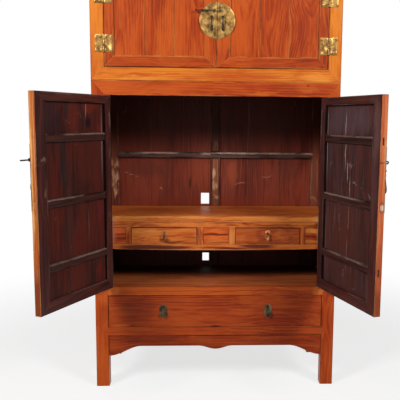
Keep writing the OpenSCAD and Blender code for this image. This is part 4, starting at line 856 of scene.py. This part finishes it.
# shelf drawers, in millimetres: a front, and a box that is narrower than it by a gap on each side
smallDrawer = {"x0": 90, "x1": 388, "front": -182, "boxFront": -168, "back": 58, "low": 660.3, "frontTop": 736,
               "sideTop": 720, "side": 8, "gap": 2, "bottomUp": 6, "bottom": 5}
for name, side in sides.items():
    s = smallDrawer
    body = "shelf_drawer_" + name
    form = bmesh.new()
    addSided(form, side, (s["x0"], s["front"], s["low"]), (s["x1"], s["boxFront"], s["frontTop"]))
    woodPiece("shelfDrawerFront" + name.title(), form, body, "small_drawer_" + name, "honey_wood",
              "honeyVarnish" if side < 0 else "russetVarnish", None, alongX)
    form = bmesh.new()
    outer, inner = ((s["x0"] + inset, s["x1"] - inset) for inset in (s["gap"], s["gap"] + s["side"]))
    for near, far in ((outer[0], inner[0]), (inner[1], outer[1])):
        addSided(form, side, (near, s["boxFront"], s["low"]), (far, s["back"], s["sideTop"]))
    innerBack, floorLow = s["back"] - s["side"], s["low"] + s["bottomUp"]
    addSided(form, side, (inner[0], innerBack, s["low"]), (inner[1], s["back"], s["sideTop"]))
    addSided(form, side, (inner[0], s["boxFront"], floorLow), (inner[1], innerBack, floorLow + s["bottom"]))
    woodPiece("shelfDrawerBox" + name.title(), form, body, None, "raw_wood", "bareWood", worn=0.0006)
print("drawers dressed")

# upper chest, in millimetres
chest = {"openLow": 1457, "openHigh": 1863, "backRail": 190, "lid": 1800}
dress("chestPosts", "chest_posts", "chest", orange, "goldLacquer innerLacquer",
      inside(chest["openLow"], chest["openHigh"]), alongZ)
dress("chestFrontBackRails", "chest_rails", "chest", orange, "goldLacquer backStain",
      lambda n, c: rear(n, c) and c.y * 1000 > chest["backRail"])
dress("chestSidePanels", "chest_side_panels", "chest", orange, "orangeLacquer backStain", looksIn, alongZ, 0.0006)
dress("chestBackBoards", "chest_back_boards", "chest", "back_stain", "backStain bareWood", rear, alongZ, 0.0008)
dress("chestTopAndFloor", "chest_top_and_floor", "chest", "raw_wood", "orangeLacquer backStain",
      lambda n, c: not (n.z > mostly and c.z * 1000 > chest["lid"]), alongX)

# chest doors: a mitred frame, a panel of boards and two battens; x runs from where the doors meet
chestDoor = {"x0": 1, "x1": 490, "low": 1459.8, "high": 1860.8, "front": -232.5, "back": -204.5, "innerX": (58, 447),
             "innerZ": (1505.8, 1825.8), "boards": 3, "joint": 0.3, "panelFront": -227.5, "panelBack": -217.5,
             "battenBack": -207.5, "battens": (1565.3, 1755.3), "battenHalf": 15.5, "same": 0.01}
for name, side in sides.items():
    d = chestDoor
    body, tail, slot = "chest_%s_door" % name, name.title(), orange
    rule = doorSkin(side, d["low"], d["high"])
    finishes = "orangeLacquer innerLacquer amberEdge doorShade"
    form = bmesh.new()
    (near, far), (innerLow, innerHigh) = d["innerX"], d["innerZ"]
    for x0, x1, x in ((d["x0"], near, near), (far, d["x1"], far)):
        for vert in addSided(form, side, (x0, d["front"], d["low"]), (x1, d["back"], d["high"])):
            if abs(abs(vert.co.x * 1000) - x) < d["same"]:  # mitred ends
                upper = vert.co.z * 1000 > innerLow
                vert.co.z += (innerHigh - d["high"] if upper else innerLow - d["low"]) / 1000
    woodPiece("chestDoorStiles" + tail, form, body, "chest_door_" + name, slot, finishes, rule, alongZ, 0.0014)
    form = bmesh.new()
    x0, x1 = sorted((side * near, side * far))
    for low, high, z in ((d["low"], innerLow, innerLow), (innerHigh, d["high"], innerHigh)):
        for vert in addSided(form, side, (d["x0"], d["front"], low), (d["x1"], d["back"], high)):
            if abs(vert.co.z * 1000 - z) < d["same"]:
                vert.co.x = min(max(vert.co.x, x0 / 1000), x1 / 1000)
    woodPiece("chestDoorRails" + tail, form, body, None, slot, finishes, rule, alongX, 0.0014)
    form = bmesh.new()
    width = (x1 - x0) / d["boards"]
    for index in range(d["boards"]):
        start = x0 + index * width
        addBoard(form, (start + d["joint"], d["panelFront"], innerLow),
                 (start + width - d["joint"], d["panelBack"], innerHigh))
    woodPiece("chestDoorPanel" + tail, form, body, None, slot, "orangeLacquer innerLacquer", panelSkin, alongZ,
              0.0005)
    form = bmesh.new()
    for z in d["battens"]:
        addBoard(form, (x0, d["panelBack"], z - d["battenHalf"]), (x1, d["battenBack"], z + d["battenHalf"]))
    woodPiece("chestDoorBattens" + tail, form, body, None, "inner_lacquer", "innerLacquer", None, alongX, 0.002)
print("chest dressed")

# brass, in metres: where its skins change, and how much its edges are rounded
brass = {"worn": 0.0003, "wideFace": -0.2325, "shelfFace": -0.182, "plateThick": 0.0016, "earFrom": -0.2364,
         "meetingEdge": 0.0014}


def rosetteSkin(face):
    # the plate keeps the first finish, what stands in front of it takes the second
    return lambda middle: middle.y <= face - brass["plateThick"]


def plateSkin(name):
    # a door plate is darker on its ear and along the edge where the doors meet
    closed = standing(name).inverted()

    def rule(middle):
        rest = closed @ middle
        return rest.y < brass["earFrom"] or abs(rest.x) < brass["meetingEdge"]
    return rule


# piece, node, body, slot and finishes, once for each side where a name holds one
brassNodes = (
    ("postHinges", "post_hinge_leaves", "carcass", "brass", "agedBrass"),
    ("{side}DoorHinges", "door_{side}_hinge_leaves", "{side}_door", "brass", "agedBrass"),
    ("{side}FacePlate", "door_{side}_face_plate", "{side}_door", "brass", "agedBrass darkBrass"),
    ("{side}DoorPull", "door_{side}_pull", "{side}_door_pull", "brass", "darkBrass"),
    ("lockPin", "lock_pin", "left_lock_pin", "brass", "ironPin"),
    ("widePullPosts", "wide_drawer_pull_posts", "wide_drawer", "dark_brass", "patinaBrass darkBrass"),
    ("widePull{Side}", "wide_drawer_pull_{side}", "wide_pull_{side}", "dark_brass", "darkBrass"),
    ("shelfPullPost{Side}", "small_drawer_pull_posts_{side}", "shelf_drawer_{side}", "dark_brass",
     "ruddyBrass darkRuddyBrass"),
    ("shelfPull{Side}", "small_drawer_pull_{side}", "shelf_pull_{side}", "dark_brass", "ruddyBrass"),
    ("chestHinges", "chest_hinge_leaves", "chest", "brass", "agedBrass"),
    ("chestPlate{Side}", "chest_door_{side}_metal", "chest_{side}_door", "brass", "agedBrass"),
    ("chestEar{Side}", "chest_ear_{side}", "chest_{side}_door", "brass", "darkBrass"),
    ("chestPullPost{Side}", "chest_pull_post_{side}", "chest_{side}_door", "brass", "darkBrass"),
    ("chestPull{Side}", "chest_pull_{side}", "chest_{side}_pull", "brass", "darkBrass"),
    ("chestLockPin", "chest_lock_pin", "chest_lock", "brass", "ironPin"),
)
brassSkins = {"widePullPosts": rosetteSkin(brass["wideFace"])}
for side in sides:
    brassSkins["shelfPullPost" + side.title()] = rosetteSkin(brass["shelfFace"])
    brassSkins[side + "FacePlate"] = plateSkin(side)
for row in brassNodes:
    for side in sides if "ide}" in row[0] else ("",):
        name, node, body, slot, finishes = (text.format(side=side, Side=side.title()) for text in row)
        form = readNode(node)
        soften(form, building["metalEdge"], brass["worn"])
        if name in brassSkins:
            form.normal_update()
            for face in form.faces:
                face.material_index = int(brassSkins[name](face.calc_center_median()))
        placePiece(name, form, body, node, slot, [metal[f] for f in finishes.split()], building["metalSmooth"])
print("brass dressed")

# camera: the photograph's viewpoint and framing
view = {"place": (-0.0382, -3.0943, 1.2346), "yaw": 0.04716, "pitch": -0.1328, "roll": 0.00963,
        "lens": 57.54, "sensor": 36, "shiftX": -0.0944, "shiftY": 0.0124}
cameraData = bpy.data.cameras.new("camera")
cameraData.lens = view["lens"]
cameraData.sensor_width = view["sensor"]
cameraData.shift_x = view["shiftX"]
cameraData.shift_y = view["shiftY"]
camera = addObject("camera", cameraData)
level = math.cos(view["pitch"])
forward = Vector((math.sin(view["yaw"]) * level, math.cos(view["yaw"]) * level, math.sin(view["pitch"])))
right = Vector((math.cos(view["yaw"]), -math.sin(view["yaw"]), 0))
upward = right.cross(forward)
rolledRight = math.cos(view["roll"]) * right + math.sin(view["roll"]) * upward
rolledUp = -math.sin(view["roll"]) * right + math.cos(view["roll"]) * upward
turned = Matrix((rolledRight, rolledUp, -forward)).transposed().to_4x4()
camera.matrix_world = Matrix.Translation(view["place"]) @ turned
bpy.context.scene.camera = camera

# floor, lamps and background: the floor glows to white away from the cabinet, for the camera alone
stage = {"floorSize": 30.0, "skyLight": 0.045, "shadowReach": (0.9, 2.6), "glow": (0.72, 1.0),
         "bounce": (0.25, 0.25, 0.25, 1), "matt": (0.9, 0.9, 0.9, 1), "white": (1, 1, 1, 1)}
lamps = {
    "leftLamp": {"place": (-2.7, -3.1, 3.1), "aim": (0.0, 0.0, 1.1), "size": (1.1, 1.3), "power": 150},
    "rightLamp": {"place": (2.6, -3.2, 3.1), "aim": (0.0, 0.0, 1.1), "size": (1.1, 1.3), "power": 125},
    "backLamp": {"place": (-2.4, 3.9, 0.95), "aim": (0.0, 0.0, 1.0), "size": (2.2, 1.4), "power": 60},
}
form = bmesh.new()
bmesh.ops.create_grid(form, x_segments=1, y_segments=1, size=stage["floorSize"] / 2)
floorMesh = bpy.data.meshes.new("floor")
form.to_mesh(floorMesh)
form.free()
addObject("floor", floorMesh)
floorMaterial = bpy.data.materials.new("paleFloor")
tree = emptyTree(floorMaterial)
ray = put(tree, "ShaderNodeLightPath").outputs
shade = blendColour(tree, ray["Is Camera Ray"], stage["bounce"], stage["matt"])
matt = put(tree, "ShaderNodeBsdfDiffuse", {"Color": shade})
glow = put(tree, "ShaderNodeEmission", {"Color": stage["white"], "Strength": 1.0})
away = vectorCalc(tree, "LENGTH", put(tree, "ShaderNodeTexCoord").outputs["Object"])
share = spread(tree, away, *stage["shadowReach"], *stage["glow"])
seen = times(tree, calc(tree, "MAXIMUM", ray["Is Camera Ray"], ray["Is Glossy Ray"]), share)
mixed = put(tree, "ShaderNodeMixShader", (seen, matt.outputs[0], glow.outputs[0]))
put(tree, "ShaderNodeOutputMaterial", {"Surface": mixed.outputs[0]})
floorMesh.materials.append(floorMaterial)

for label, setting in lamps.items():
    lampData = bpy.data.lights.new(label, "AREA")
    lampData.shape = "RECTANGLE"
    lampData.size, lampData.size_y = setting["size"]
    lampData.energy = setting["power"]
    lamp = addObject(label, lampData)
    lamp.location = setting["place"]
    lamp.rotation_euler = (Vector(setting["aim"]) - Vector(setting["place"])).to_track_quat("-Z", "Y").to_euler()

world = bpy.data.worlds.new("studio")
bpy.context.scene.world = world
tree = emptyTree(world)
ray = put(tree, "ShaderNodeLightPath").outputs
white = calc(tree, "MAXIMUM", ray["Is Camera Ray"], ray["Is Glossy Ray"])
white = calc(tree, "MAXIMUM", white, ray["Is Transmission Ray"])
strength = plus(tree, times(tree, white, 1.0 - stage["skyLight"]), stage["skyLight"])
sky = put(tree, "ShaderNodeBackground", {"Color": stage["white"], "Strength": strength})
put(tree, "ShaderNodeOutputWorld", {"Surface": sky.outputs[0]})
bpy.context.scene.view_settings.view_transform = "Standard"
print("stage set")
